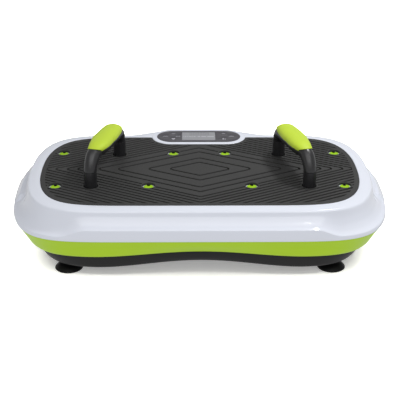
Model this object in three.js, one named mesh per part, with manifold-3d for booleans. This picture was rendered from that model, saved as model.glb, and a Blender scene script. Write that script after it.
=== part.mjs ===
// Rocking vibration plate: a standing deck that see-saws about a fore-and-aft
// shaft, driven by a belt, a crankshaft with two eccentrics and two links.
// Millimetres. X is the long side (right), Y the short side (to the rear, where
// the console is), Z up. The origin is on the floor under the middle of the deck.

import * as THREE from "three";
import { mergeVertices } from "three/addons/utils/BufferGeometryUtils.js";
import Module from "manifold-3d";

const wasm = await Module();
wasm.setup();

// ---------- driving dimensions ----------

const HALF_LENGTH = 372; // widest point of the shell's lip, along X
const HALF_WIDTH = 220; // widest point of the shell's lip, along Y
const GAP = 0.3; // between pieces that touch
const WALL = 3; // moulded wall thickness

const MAT_TOP = 150;
const MAT_THICKNESS = 4.7;
const DECK_TOP = MAT_TOP - MAT_THICKNESS - GAP;
const DECK_THICKNESS = 3.7;
const LIP_BOTTOM = 96;
const LIP_CREASE_FRONT = 119; // tall lip along the long sides
const LIP_CREASE_END = 104; // thin lip round the corners and ends
const RIM_CREASE = 146.5;
const BAND_BOTTOM = 52;
const BAND_RISE = 12; // how far the band's lower edge rises at mid length
const PAN_BOTTOM = 22;
const PAN_RISE = 16; // the same for the base pan's underside
const ARCH_HALF_LENGTH = 210;
const PAN_TOP = 75;

const SCOOP_BLEND = 5; // half length of the ends of the hand recess in each end of the shell

const CONSOLE_Y = 176;
const CONSOLE_RADIUS = 43;
const CONSOLE_STRAIGHT = 57.5; // half length of the straight part
const OVERLAY_RADIUS = 32.5;
const KEY_RADIUS = 6.3;
const KEY_TRAVEL = 0.6;
const LCD_HALF_LENGTH = 36;
const LCD_FRONT = 155;
const LCD_REAR = 201;

const SCREW_HOLE_RADIUS = 12.7; // the mat's holes
const POST_HOLE_RADIUS = 14.2;
const CAP_RADIUS = 9.8;
const COUNTERBORE_RADIUS = 8.6;
const HANDLE_FRONT = [213, -83]; // X, Y of the right handle's posts
const HANDLE_REAR = [165.6, 78];
const TUBE_RADIUS = 12.6; // the sockets' outer radius too
const NECK_SWELL = 1.3; // how much thicker a tube is next to its grip
const SPIGOT_RADIUS = 9.2;
const SPIGOT_BOTTOM = 143;
const SOCKET_TOP = 179.7;
const TOP_RUN_FRONT = 213.5; // height of the tube's middle line
const TOP_RUN_REAR = 211;
const FRONT_BEND = 40;
const REAR_BEND = 38;
const GRIP_FIRST = 3.8; // where the grip starts and ends, counted along the handle
const GRIP_LAST = 11.6;
const GRIP_WIDEST = 7;
const GRIP_HALF_WIDTH = 22.5;
const GRIP_REAR_NARROWING = 0.96; // 1 would bring the rear end to a point
const GRIP_LOWER_EDGE = 3.6; // above the tube's middle line

const PIVOT_Z = 84; // the shaft the platform rocks on, at X = 0
const CRANK_X = 150;
const CRANK_Z = 78;
const BEARING_Y = 128;
const THROW = 3.1;
const LINK_X = CRANK_X + THROW; // the eccentrics point along +X when the deck is level
const LINK_Y = 105;
const LINK_PIN_Z = 112;
const MOTOR_X = 245;
const MOTOR_Z = 80;
const BELT_Y = -60;
const MOTOR_PULLEY_RADIUS = 10;
const DRIVEN_PULLEY_RADIUS = 27;
const CHASSIS_TOP = 45;
const FRAME_TOP = DECK_TOP - DECK_THICKNESS - 0.6;
const FRAME_THICKNESS = 3;

const FOOT_X = 257;
const FOOT_Y = 137;
const FOOT_RADIUS = 27.5;

const INLET_X = -200;
const SWITCH_X = -155;
const SERVICE_Z = 36;
const SERVICE_FACE_Y = 191;
const ROCKER_PIVOT_Y = 187.5;
const ROCKER_TILT = THREE.MathUtils.degToRad(8);

const OUTLINE_POINTS = 48;

// ---------- materials ----------

function finish(color, roughness, metalness = 0) {
  return new THREE.MeshStandardMaterial({ color, roughness, metalness });
}

const WHITE_SHELL = finish(0xdfe3ee, 0.25);
const LIME_BAND = finish(0xa1c235, 0.4);
const BLACK_PAN = finish(0x363636, 0.55);
const MAT_RUBBER = finish(0x4c4c4c, 0.8);
const FOOT_RUBBER = finish(0x151515, 0.7);
const BLACK_MOULDING = finish(0x222222, 0.4);
const LIME_GRIP = finish(0xc6df55, 0.55);
const OVERLAY_FILM = finish(0x63626a, 0.2);
const LCD_GLASS = finish(0x999a9f, 0.3);
const ZINC_STEEL = finish(0xa9adb0, 0.4, 1);
const DARK_STEEL = finish(0x4b4e52, 0.5, 1);
const BRIGHT_STEEL = finish(0xc7c9cc, 0.25, 1);
const ALUMINIUM = finish(0xbfc2c4, 0.35, 1);
const CIRCUIT_BOARD = finish(0x1f5a36, 0.5);
const BELT_RUBBER = finish(0x202020, 0.7);
const LEAD_RED = finish(0x9c2320, 0.5);
const LEAD_BLACK = finish(0x1b1b1b, 0.5);

// ---------- solids ----------

// A closed geometry as a solid, whichever way its faces were wound.
function solidFrom(geometry) {
  const bare = geometry.clone();
  bare.deleteAttribute("normal");
  bare.deleteAttribute("uv");
  const merged = mergeVertices(bare, 1e-4);
  const corners = merged.index.array;
  const kept = [];
  for (let i = 0; i < corners.length; i += 3) {
    const [a, b, c] = [corners[i], corners[i + 1], corners[i + 2]];
    if (a !== b && b !== c && c !== a) kept.push(a, b, c);
  }
  const vertProperties = new Float32Array(merged.attributes.position.array);
  const build = (list) => {
    const mesh = new wasm.Mesh({ numProp: 3, vertProperties, triVerts: new Uint32Array(list) });
    return new wasm.Manifold(mesh);
  };
  const solid = build(kept);
  return solid.volume() > 0 ? solid : build(kept.reverse());
}

function geometryFrom(solid) {
  const mesh = solid.getMesh();
  const geometry = new THREE.BufferGeometry();
  geometry.setAttribute("position", new THREE.BufferAttribute(mesh.vertProperties, 3));
  geometry.setIndex(new THREE.BufferAttribute(mesh.triVerts, 1));
  geometry.computeVertexNormals();
  return geometry;
}

const united = (...solids) => solids.reduce((sum, next) => sum.add(next));
const cut = (solid, ...tools) => tools.reduce((rest, tool) => rest.subtract(tool), solid);

function block([x0, x1], [y0, y1], [z0, z1]) {
  const geometry = new THREE.BoxGeometry(x1 - x0, y1 - y0, z1 - z0);
  return solidFrom(geometry.translate((x0 + x1) / 2, (y0 + y1) / 2, (z0 + z1) / 2));
}

// Round bar along Y through (x, z).
function barY(radius, [y0, y1], x, z, sides = 14) {
  const geometry = new THREE.CylinderGeometry(radius, radius, y1 - y0, sides);
  return solidFrom(geometry.translate(x, (y0 + y1) / 2, z));
}

// Round bar along Z through (x, y).
function barZ(radius, [z0, z1], x, y, sides = 12) {
  const geometry = new THREE.CylinderGeometry(radius, radius, z1 - z0, sides);
  return solidFrom(geometry.rotateX(Math.PI / 2).translate(x, y, (z0 + z1) / 2));
}

// Turned piece about the vertical line through (x, y); profile is [radius, height] pairs.
function turned(profile, x, y, sides = 16) {
  const points = profile.map(([radius, height]) => new THREE.Vector2(radius, height));
  const geometry = new THREE.LatheGeometry(points, sides);
  return solidFrom(geometry.rotateX(Math.PI / 2).translate(x, y, 0));
}

function plate(shape, [z0, z1], curveSegments = 12) {
  const geometry = new THREE.ExtrudeGeometry(shape, { depth: z1 - z0, bevelEnabled: false, curveSegments });
  return solidFrom(geometry.translate(0, 0, z0));
}

// ---------- plan outline ----------

const smoothstep = (from, to, value) => THREE.MathUtils.smoothstep(value, from, to);

// Rounded-rectangle outline |x|^8 + |y|^2.4 = 1: nearly flat long sides, bowed ends.
function unitOutline(count) {
  const points = [];
  for (let i = 0; i < count; i++) {
    const angle = (2 * Math.PI * i) / count;
    const c = Math.abs(Math.cos(angle));
    const s = Math.abs(Math.sin(angle));
    let low = 0.5;
    let high = 2;
    while (high - low > 1e-9) {
      const middle = (low + high) / 2;
      if ((middle * c) ** 8 + (middle * s) ** 2.4 < 1) low = middle;
      else high = middle;
    }
    points.push([low * Math.cos(angle), low * Math.sin(angle)]);
  }
  return points;
}

const OUTLINE = unitOutline(OUTLINE_POINTS);

function archAt(x) {
  return Math.abs(x) < ARCH_HALF_LENGTH ? 0.5 + 0.5 * Math.cos((Math.PI * x) / ARCH_HALF_LENGTH) : 0;
}

// Solid whose level rings all follow the plan outline. Each ring gives its half
// length a, half width b and height z (a number or a function of x and y); an
// adjust function may move the finished point. Rings run from the axis back to the
// axis, or close on themselves.
function ringed(rings) {
  const profile = rings.map(({ a }) => new THREE.Vector2(a, 0));
  const geometry = new THREE.LatheGeometry(profile, OUTLINE_POINTS);
  const position = geometry.attributes.position;
  for (let i = 0; i <= OUTLINE_POINTS; i++) {
    const [unitX, unitY] = OUTLINE[i % OUTLINE_POINTS];
    rings.forEach(({ a, b, z, adjust }, j) => {
      const x = a * unitX;
      const y = b * unitY;
      const point = new THREE.Vector3(x, y, typeof z === "function" ? z(x, y) : z);
      if (adjust) adjust(point, unitY);
      position.setXYZ(i * rings.length + j, point.x, point.y, point.z);
    });
  }
  return solidFrom(geometry);
}

function outlineShape(a, b) {
  return new THREE.Shape(OUTLINE.map(([x, y]) => new THREE.Vector2(a * x, b * y)));
}

function stadiumShape(straight, radius, y) {
  const shape = new THREE.Shape();
  shape.absarc(straight, y, radius, -Math.PI / 2, Math.PI / 2, false);
  shape.absarc(-straight, y, radius, Math.PI / 2, (3 * Math.PI) / 2, false);
  return shape;
}

// ---------- places that repeat ----------

const SCREW_HOLES = [
  ["front_outer_left", -283, -81],
  ["front_inner_left", -101, -81],
  ["front_inner_right", 101, -81],
  ["front_outer_right", 283, -81],
  ["rear_outer_left", -283, 87],
  ["rear_inner_left", -54, 85],
  ["rear_inner_right", 54, 85],
  ["rear_outer_right", 283, 87],
];

const SIDES = [
  ["left", -1],
  ["right", 1],
];

const ENDS = [
  ["front", -1],
  ["rear", 1],
];

const POSTS = SIDES.flatMap(([side, sign]) => [
  ["front_" + side, sign * HANDLE_FRONT[0], HANDLE_FRONT[1]],
  ["rear_" + side, sign * HANDLE_REAR[0], HANDLE_REAR[1]],
]);

const KEYS = [
  ["speed_up", 54.5, 191.5],
  ["speed_down", 54.5, 161],
  ["program", 71.5, 176],
  ["power", -71.5, 176],
  ["mode", -54.5, 191.5],
  ["time", -44.5, 176],
  ["timer_hold", -54.5, 161],
];

// ---------- shells ----------

// Height of the crease between skirt and lip: high along the long sides, low elsewhere.
function lipCrease(x, y) {
  const alongSide = 1 - smoothstep(215, 265, Math.abs(x));
  if (Math.abs(y) < 120) return LIP_CREASE_END;
  return THREE.MathUtils.lerp(LIP_CREASE_END, LIP_CREASE_FRONT, alongSide);
}

// Pushes the rear of a ring out to y = reach behind the console.
const bulgeTo = (reach) => (point, unitY) => {
  if (unitY < 0.5) return;
  const amount = 1 - smoothstep(70, 150, Math.abs(point.x));
  point.y += Math.max(reach - point.y, 0) * amount;
};

// A skirt ring: part-way down the cove, and in the hand recess at its own depth and height.
function skirtRing(a, b, fraction, reach, scoop) {
  const bulge = bulgeTo(reach);
  return {
    a,
    b,
    z: (x, y) => THREE.MathUtils.lerp(lipCrease(x, y), RIM_CREASE, fraction),
    adjust: (point, unitY) => {
      bulge(point, unitY);
      const { halfWidth, depth, height } = scoop;
      const away = Math.abs(point.y);
      const inside = 1 - smoothstep(halfWidth - SCOOP_BLEND, halfWidth + SCOOP_BLEND, away);
      if (Math.abs(point.x) < HALF_LENGTH / 2 || inside === 0) return;
      point.x -= Math.sign(point.x) * depth * inside;
      point.z = THREE.MathUtils.lerp(point.z, height, inside);
    },
  };
}

function topShell() {
  const underside = DECK_TOP - DECK_THICKNESS;
  const outer = [
    { a: 0, b: 0, z: DECK_TOP },
    { a: 318, b: 173, z: DECK_TOP },
    { a: 318, b: 173, z: MAT_TOP - 1 },
    { a: 319.5, b: 174.5, z: MAT_TOP - 0.2 },
    { a: 340, b: 193, z: RIM_CREASE + 0.8, adjust: bulgeTo(218) },
    { a: 342, b: 195, z: RIM_CREASE - 1.5, adjust: bulgeTo(219) },
    skirtRing(346, 198, 0.66, 219.2, { halfWidth: 88, depth: 3, height: 125 }),
    skirtRing(352, 204, 0.34, 219.4, { halfWidth: 72, depth: 6, height: 120.5 }),
    skirtRing(361, 211, 0.1, 219.6, { halfWidth: 60, depth: 3, height: 119 }),
    skirtRing(370.5, 218.5, 0, 219.8, { halfWidth: 50, depth: 0, height: 108 }),
    { a: HALF_LENGTH, b: HALF_WIDTH, z: LIP_BOTTOM + 2 },
    { a: HALF_LENGTH - 0.5, b: HALF_WIDTH - 0.5, z: LIP_BOTTOM },
  ];
  const inner = [
    { a: HALF_LENGTH - 3.5, b: HALF_WIDTH - 3.5, z: LIP_BOTTOM },
    { a: HALF_LENGTH - 3.5, b: HALF_WIDTH - 3.5, z: 101 },
    { a: 362, b: 210, z: 104, adjust: bulgeTo(215) },
    { a: 338, b: 188, z: 116, adjust: bulgeTo(214) },
    { a: 336, b: 188, z: underside, adjust: bulgeTo(214) },
    { a: 0, b: 0, z: underside },
  ];
  const bowl = ringed([...outer, ...inner]);
  const consoleTop = MAT_TOP + 0.4;
  const bossShape = stadiumShape(CONSOLE_STRAIGHT, CONSOLE_RADIUS, CONSOLE_Y);
  const boss = plate(bossShape, [underside + 0.5, consoleTop]);
  const overlayPocket = plate(stadiumShape(CONSOLE_STRAIGHT, OVERLAY_RADIUS + GAP, CONSOLE_Y), [148, 152]);
  const lcdWindow = block([-42, 42], [LCD_FRONT - 3, LCD_REAR + 3], [130, 152]);
  const holes = SCREW_HOLES.map(([, x, y]) => barZ(COUNTERBORE_RADIUS, [130, 150], x, y, 12));
  const postHoles = POSTS.map(([, x, y]) => barZ(TUBE_RADIUS + 2 * GAP, [130, 150], x, y));
  return cut(bowl.add(boss), overlayPocket, lcdWindow, ...holes, ...postHoles);
}

function accentBand() {
  const lower = (lift) => (x) => BAND_BOTTOM + BAND_RISE * archAt(x) + lift;
  return ringed([
    { a: 346, b: 195, z: lower(0) },
    { a: 350, b: 198.6, z: lower(4) },
    { a: 362.5, b: 210, z: 80 },
    { a: 371, b: 218.6, z: 95.2 },
    { a: 367.4, b: 215.4, z: LIP_BOTTOM - GAP },
    { a: 367.4, b: 215.4, z: 100 },
    { a: 364, b: 212, z: 100 },
    { a: 356, b: 204.5, z: 80 },
    { a: 343, b: 192, z: lower(0) },
    { a: 346, b: 195, z: lower(0) },
  ]);
}

function rubberMat() {
  const sheet = plate(outlineShape(317.4, 172.4), [DECK_TOP + GAP, MAT_TOP]);
  const notch = plate(stadiumShape(CONSOLE_STRAIGHT, CONSOLE_RADIUS + 0.6, CONSOLE_Y), [140, 160]);
  const screwHoles = SCREW_HOLES.map(([, x, y]) => barZ(SCREW_HOLE_RADIUS, [140, 160], x, y));
  const postHoles = POSTS.map(([, x, y]) => barZ(POST_HOLE_RADIUS, [140, 160], x, y));
  return cut(sheet, notch, ...screwHoles, ...postHoles);
}

function basePan() {
  const floor = (lift) => (x) => PAN_BOTTOM + PAN_RISE * archAt(x) + lift;
  const bowl = ringed([
    { a: 0, b: 0, z: floor(0) },
    { a: 224, b: 130, z: floor(0) },
    { a: 316, b: 182, z: floor(0) },
    { a: 321, b: 186, z: floor(3) },
    { a: 340, b: 190, z: 50 },
    { a: 340, b: 190, z: PAN_TOP },
    { a: 340 - WALL, b: 190 - WALL, z: PAN_TOP },
    { a: 340 - WALL, b: 190 - WALL, z: 50 },
    { a: 316, b: 182, z: floor(WALL + 1.5) },
    { a: 224, b: 130, z: floor(WALL) },
    { a: 0, b: 0, z: floor(WALL) },
  ]);
  const panel = block([INLET_X - 22, SWITCH_X + 18], [180, SERVICE_FACE_Y], [26, 46.6]);
  const studHoles = footPlaces().map(([, x, y]) => barZ(4.6, [10, 40], x, y, 8));
  const inletHole = faceBlock(INLET_X, 13.8, 8.8, [164, 200]);
  const switchHole = faceBlock(SWITCH_X, 10.3, 7, [170, 200]);
  return cut(bowl.add(panel), ...studHoles, inletHole, switchHole);
}

// ---------- feet and chassis ----------

function footPlaces() {
  return ENDS.flatMap(([end, ySign]) =>
    SIDES.map(([side, xSign]) => [end + "_" + side, xSign * FOOT_X, ySign * FOOT_Y]),
  );
}

// Rubber suction foot moulded round its stud, which passes the pan and the chassis.
function foot(x, y) {
  const top = PAN_BOTTOM - GAP;
  const profile = [
    [0, 0],
    [FOOT_RADIUS - 1, 0],
    [FOOT_RADIUS, 1.5],
    [21, 8],
    [11, 12],
    [11, 15],
    [15, 18],
    [15, top],
    [4, top],
    [4, 50],
    [0, 50],
  ];
  return turned(profile, x, y, 16);
}

function chassisPlate() {
  const shape = new THREE.Shape();
  const [halfLength, halfWidth, corner] = [290, 165, 30];
  shape.moveTo(-halfLength + corner, -halfWidth);
  shape.lineTo(halfLength - corner, -halfWidth);
  shape.lineTo(halfLength, -halfWidth + corner);
  shape.lineTo(halfLength, halfWidth - corner);
  shape.lineTo(halfLength - corner, halfWidth);
  shape.lineTo(-halfLength + corner, halfWidth);
  shape.lineTo(-halfLength, halfWidth - corner);
  shape.lineTo(-halfLength, -halfWidth + corner);
  const sheet = plate(shape, [CHASSIS_TOP - 3, CHASSIS_TOP]);
  const studHoles = footPlaces().map(([, x, y]) => barZ(4.6, [40, 50], x, y, 8));
  const inletRelief = block([INLET_X - 17, SWITCH_X + 14], [150, 170], [40, 50]);
  return cut(sheet, ...studHoles, inletRelief);
}

// ---------- rocking frame, pivot and drive ----------

function rockerFrame() {
  const bottom = FRAME_TOP - FRAME_THICKNESS;
  const sheet = block([-305, 305], [-120, 120], [bottom, FRAME_TOP]);
  const screwHoles = SCREW_HOLES.map(([, x, y]) => barZ(3.4, [130, 150], x, y, 8));
  const pivotLugs = ENDS.map(([, s]) => block([-12, 12], [s * 84 - 4, s * 84 + 4], [74, bottom + 1]));
  const linkLugs = ENDS.flatMap(([, s]) =>
    [-10, 10].map((offset) => {
      const middle = s * LINK_Y + offset;
      return block([LINK_X - 9, LINK_X + 9], [middle - 2.5, middle + 2.5], [LINK_PIN_Z - 9, bottom + 1]);
    }),
  );
  const ribs = [-40, 40].map((y) => block([-300, 300], [y - 2, y + 2], [bottom - 8, bottom + 1]));
  const pivotBore = barY(6 + GAP, [-130, 130], 0, PIVOT_Z);
  const pinBore = barY(4 + GAP, [-130, 130], LINK_X, LINK_PIN_Z, 10);
  return cut(united(sheet, ...pivotLugs, ...linkLugs, ...ribs), ...screwHoles, pivotBore, pinBore);
}

function pivotBracket(s) {
  const upright = block([-20, 20], [s * 103 - 5, s * 103 + 5], [CHASSIS_TOP + GAP, PIVOT_Z + 12]);
  const sole = block([-34, 34], [s * 103 - 12, s * 103 + 12], [CHASSIS_TOP + GAP, CHASSIS_TOP + 5]);
  return cut(upright.add(sole), barY(6.5, [-130, 130], 0, PIVOT_Z));
}

function shaftBearing(s) {
  const depth = [s * BEARING_Y - 7, s * BEARING_Y + 7];
  const housing = barY(15, depth, CRANK_X, CRANK_Z);
  const stem = block([CRANK_X - 12, CRANK_X + 12], depth, [CHASSIS_TOP + 2, CRANK_Z - 6]);
  const sole = block([CRANK_X - 28, CRANK_X + 28], depth, [CHASSIS_TOP + GAP, CHASSIS_TOP + 6]);
  return cut(united(housing, stem, sole), barY(7.4, [-140, 140], CRANK_X, CRANK_Z));
}

function eccentric(s) {
  const disc = barY(12, [s * LINK_Y - 6, s * LINK_Y + 6], LINK_X, CRANK_Z, 18);
  return cut(disc, barY(7 + GAP, [-140, 140], CRANK_X, CRANK_Z));
}

// Big end with running clearance round the eccentric, small end on the platform's pin.
function rockerLink(s) {
  const span = [s * LINK_Y - 5, s * LINK_Y + 5];
  const bigEnd = barY(26, span, LINK_X, CRANK_Z, 18);
  const smallEnd = barY(8, span, LINK_X, LINK_PIN_Z);
  const arm = block([LINK_X - 6, LINK_X + 6], span, [CRANK_Z + 22, LINK_PIN_Z]);
  const bore = barY(20.5, [s * LINK_Y - 9, s * LINK_Y + 9], LINK_X, CRANK_Z, 18);
  return cut(united(bigEnd, smallEnd, arm), bore, barY(4.4, [-130, 130], LINK_X, LINK_PIN_Z, 10));
}

function linkPin(s) {
  return barY(4, [s * LINK_Y - 14, s * LINK_Y + 14], LINK_X, LINK_PIN_Z, 10);
}

function drivenPulley() {
  const rim = barY(DRIVEN_PULLEY_RADIUS, [BELT_Y - 6, BELT_Y + 6], CRANK_X, CRANK_Z, 20);
  const cheeks = [-7, 7].map((offset) =>
    barY(DRIVEN_PULLEY_RADIUS + 1.6, [BELT_Y + offset - 1, BELT_Y + offset + 1], CRANK_X, CRANK_Z, 20),
  );
  const windows = [0, 1, 2, 3].map((quarter) => {
    const angle = (Math.PI / 2) * quarter + Math.PI / 4;
    const [x, z] = [CRANK_X + 17 * Math.cos(angle), CRANK_Z + 17 * Math.sin(angle)];
    return barY(5, [BELT_Y - 12, BELT_Y + 12], x, z, 8);
  });
  return cut(united(rim, ...cheeks), ...windows, barY(7 + GAP, [-140, 140], CRANK_X, CRANK_Z));
}

function motorPulley() {
  const rim = barY(MOTOR_PULLEY_RADIUS, [BELT_Y - 7, BELT_Y + 7], MOTOR_X, MOTOR_Z);
  const cheek = barY(MOTOR_PULLEY_RADIUS + 2, [BELT_Y - 9, BELT_Y - 7.2], MOTOR_X, MOTOR_Z);
  const hub = barY(8, [BELT_Y - 9, BELT_Y + 7], MOTOR_X, MOTOR_Z);
  return cut(united(rim, cheek, hub), barY(4 + GAP, [-140, 140], MOTOR_X, MOTOR_Z));
}

// Loop round both pulleys at a distance from their rims, drawn in X and Z.
function beltShape(offset) {
  const [large, small] = [DRIVEN_PULLEY_RADIUS + offset, MOTOR_PULLEY_RADIUS + offset];
  const span = Math.hypot(MOTOR_X - CRANK_X, MOTOR_Z - CRANK_Z);
  const tilt = Math.atan2(MOTOR_Z - CRANK_Z, MOTOR_X - CRANK_X);
  const contact = Math.acos((large - small) / span);
  const shape = new THREE.Shape();
  shape.absarc(CRANK_X, CRANK_Z, large, tilt + contact, tilt - contact + 2 * Math.PI, false);
  shape.absarc(MOTOR_X, MOTOR_Z, small, tilt - contact, tilt + contact, false);
  return shape;
}

function driveBelt() {
  const loop = beltShape(2.2);
  loop.holes.push(beltShape(0.4));
  const geometry = new THREE.ExtrudeGeometry(loop, { depth: 10, bevelEnabled: false, curveSegments: 9 });
  geometry.rotateX(Math.PI / 2).translate(0, BELT_Y + 5, 0);
  return solidFrom(geometry);
}

function motorHousing() {
  const can = barY(31, [-42, 70], MOTOR_X, MOTOR_Z, 20);
  const rearCap = barY(27, [69, 76], MOTOR_X, MOTOR_Z, 20);
  const nose = barY(11, [-47, -41], MOTOR_X, MOTOR_Z);
  return cut(united(can, rearCap, nose), barY(4.5, [-60, 20], MOTOR_X, MOTOR_Z));
}

function motorBracket() {
  const face = block([MOTOR_X - 34, MOTOR_X + 34], [-46, -42 - GAP], [CHASSIS_TOP + GAP, MOTOR_Z + 34]);
  const sole = block([MOTOR_X - 34, MOTOR_X + 34], [-46, 60], [CHASSIS_TOP + GAP, CHASSIS_TOP + 3]);
  return cut(face.add(sole), barY(11.5, [-60, -30], MOTOR_X, MOTOR_Z));
}

// ---------- electrics ----------

function powerBoard() {
  const sheet = block([-250, -130], [-60, 60], [56, 57.6]);
  const postPlaces = [-244, -136].flatMap((x) => [-54, 54].map((y) => [x, y]));
  const posts = postPlaces.map(([x, y]) => barZ(3.5, [CHASSIS_TOP + GAP, 56.5], x, y, 8));
  const transformer = block([-245, -210], [-10, 30], [57, 85]);
  const relay = block([-200, -182], [20, 36], [57, 73]);
  const capacitors = [-200, -176].map((x) => barZ(9, [57, 88], x, 0, 12));
  const terminals = block([-165, -136], [30, 42], [57, 70]);
  const sinkBase = block([-165, -135], [-50, 10], [57, 62]);
  const sinkFins = [0, 1, 2, 3, 4].map((i) => block([-165 + 7 * i, -163 + 7 * i], [-50, 10], [61, 84]));
  return united(sheet, ...posts, transformer, relay, ...capacitors, terminals, sinkBase, ...sinkFins);
}

// Block centred at (x, SERVICE_Z) in the rear wall, through the given depths.
function faceBlock(x, halfLength, halfHeight, depths) {
  return block([x - halfLength, x + halfLength], depths, [SERVICE_Z - halfHeight, SERVICE_Z + halfHeight]);
}

// Appliance inlet with three blades, set in the rear wall of the pan.
function powerInlet() {
  const faceY = SERVICE_FACE_Y + GAP;
  const flange = faceBlock(INLET_X, 15, 10, [faceY, faceY + 2]);
  const body = faceBlock(INLET_X, 13.5, 8.5, [168, faceY + 1]);
  const socket = faceBlock(INLET_X, 12, 7, [175, faceY + 5]);
  const blades = [-7, 0, 7].map((offset) => {
    const rise = offset === 0 ? 1.5 : -1.5;
    const heights = [SERVICE_Z + rise - 2, SERVICE_Z + rise + 2];
    return block([INLET_X + offset - 1, INLET_X + offset + 1], [172, 188], heights);
  });
  return united(cut(flange.add(body), socket), ...blades);
}

function switchHousing() {
  const faceY = SERVICE_FACE_Y + GAP;
  const flange = faceBlock(SWITCH_X, 12, 8.6, [faceY, faceY + 1.6]);
  const body = faceBlock(SWITCH_X, 10, 6.7, [174, faceY + 1]);
  const pocket = faceBlock(SWITCH_X, 8.6, 5.4, [181, faceY + 5]);
  return cut(flange.add(body), pocket);
}

// Tilting cap of the mains switch: a shallow V that turns about the upright line
// at (SWITCH_X, ROCKER_PIVOT_Y). It is drawn about that line and stands tilted, off.
function powerRocker() {
  const shape = new THREE.Shape();
  shape.moveTo(-7.6, 3.9);
  shape.lineTo(-1.5, -1.5);
  shape.lineTo(1.5, -1.5);
  shape.lineTo(7.6, 3.9);
  shape.lineTo(7.2, 6.1);
  shape.lineTo(0, 4.7);
  shape.lineTo(-7.2, 6.1);
  const geometry = new THREE.ExtrudeGeometry(shape, { depth: 10, bevelEnabled: false });
  geometry.rotateZ(ROCKER_TILT).translate(SWITCH_X, ROCKER_PIVOT_Y, SERVICE_Z - 5);
  return solidFrom(geometry);
}

function lead(points, radius) {
  const curve = new THREE.CatmullRomCurve3(points.map(([x, y, z]) => new THREE.Vector3(x, y, z)));
  const section = new THREE.Shape().absarc(0, 0, radius, 0, 2 * Math.PI, false);
  const options = { extrudePath: curve, steps: 22, curveSegments: 3, bevelEnabled: false };
  return solidFrom(new THREE.ExtrudeGeometry(section, options));
}

const MOTOR_LEAD_ROUTE = [
  [-132, 36, 74],
  [-112, 36, 66],
  [-90, 30, 51],
  [0, 22, 50],
  [110, 22, 50],
  [190, 66, 50],
  [225, 94, 56],
  [240, 92, 70],
  [243, 79, 76],
];

const MAINS_LEAD_ROUTE = [
  [-200, 167, 36],
  [-200, 158, 38],
  [-200, 152, 50],
  [-204, 120, 50],
  [-206, 85, 52],
  [-190, 66, 66],
  [-176, 50, 68],
  [-168, 40, 66],
];

// ---------- handles ----------

const HANDLE_SPAN = Math.hypot(HANDLE_FRONT[0] - HANDLE_REAR[0], HANDLE_REAR[1] - HANDLE_FRONT[1]);
const RUN_FALL = Math.atan2(TOP_RUN_REAR - TOP_RUN_FRONT, HANDLE_SPAN - FRONT_BEND - REAR_BEND);

// A point of a handle's middle line, as [distance from the front post, height], and the
// direction square to it on its outer side. u runs from 0 to 5 round the front bend, to
// 9 along the top run and to 14 round the rear bend.
function handlePoint(u) {
  if (u <= 5) {
    const angle = Math.PI - ((Math.PI / 2 - RUN_FALL) * u) / 5;
    const [c, s] = [Math.cos(angle), Math.sin(angle)];
    return { at: [FRONT_BEND + FRONT_BEND * c, TOP_RUN_FRONT - FRONT_BEND + FRONT_BEND * s], up: [c, s] };
  }
  if (u <= 9) {
    const from = handlePoint(5).at;
    const share = (u - 5) / 4;
    const distance = THREE.MathUtils.lerp(from[0], HANDLE_SPAN - REAR_BEND, share);
    const height = THREE.MathUtils.lerp(from[1], TOP_RUN_REAR, share);
    return { at: [distance, height], up: [-Math.sin(RUN_FALL), Math.cos(RUN_FALL)] };
  }
  const angle = (Math.PI / 2 + RUN_FALL) * (1 - (u - 9) / 5);
  const [c, s] = [Math.cos(angle), Math.sin(angle)];
  const distance = HANDLE_SPAN - REAR_BEND + REAR_BEND * c;
  return { at: [distance, TOP_RUN_REAR - REAR_BEND + REAR_BEND * s], up: [c, s] };
}

// A cylinder's rings moved to stations along a handle. Each station has its place on
// the middle line, the direction of the section's own up, and its reach sideways, up
// and down.
function sweptHandle(stations, sign, sides) {
  const geometry = new THREE.CylinderGeometry(1, 1, 1, sides, stations.length - 1);
  const position = geometry.attributes.position;
  const [runX, runY] = [HANDLE_REAR[0] - HANDLE_FRONT[0], HANDLE_REAR[1] - HANDLE_FRONT[1]];
  const along = new THREE.Vector3(sign * runX, runY, 0).normalize();
  const side = new THREE.Vector3(-along.y, along.x, 0);
  for (let i = 0; i < position.count; i++) {
    const index = Math.round((position.getY(i) + 0.5) * (stations.length - 1));
    const { at, up, reach } = stations[index];
    const across = position.getX(i) * reach.side;
    const lift = position.getZ(i) * (position.getZ(i) > 0 ? reach.up : reach.down);
    const point = new THREE.Vector3(sign * HANDLE_FRONT[0], HANDLE_FRONT[1], at[1]);
    point.addScaledVector(along, at[0] + up[0] * lift).addScaledVector(side, across);
    point.z += up[1] * lift;
    position.setXYZ(i, point.x, point.y, point.z);
  }
  return solidFrom(geometry);
}

const clampedShare = (value, from, to) => THREE.MathUtils.clamp((value - from) / (to - from), 0, 1);

const tubeRadius = (u) =>
  TUBE_RADIUS + NECK_SWELL * smoothstep(0.5, GRIP_FIRST, u) * (1 - smoothstep(9, 12.5, u));

// Share of the full swelling: 0 at the front end of the grip, 1 at its widest.
const frontSwell = (u) => Math.sin((Math.PI / 2) * clampedShare(u, GRIP_FIRST, GRIP_WIDEST)) ** 0.9;

function gripHalfWidth(u) {
  const start = tubeRadius(GRIP_FIRST) + 0.7;
  if (u < GRIP_WIDEST) return THREE.MathUtils.lerp(start, GRIP_HALF_WIDTH, frontSwell(u));
  const share = clampedShare(u, GRIP_WIDEST, GRIP_LAST);
  return GRIP_HALF_WIDTH * Math.sqrt(1 - GRIP_REAR_NARROWING * share ** 2);
}

function gripHeight(u) {
  const crown = Math.sin(Math.PI * clampedShare(u, GRIP_FIRST, GRIP_LAST)) ** 0.9;
  return tubeRadius(u) + 0.6 + 4 * crown;
}

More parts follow.
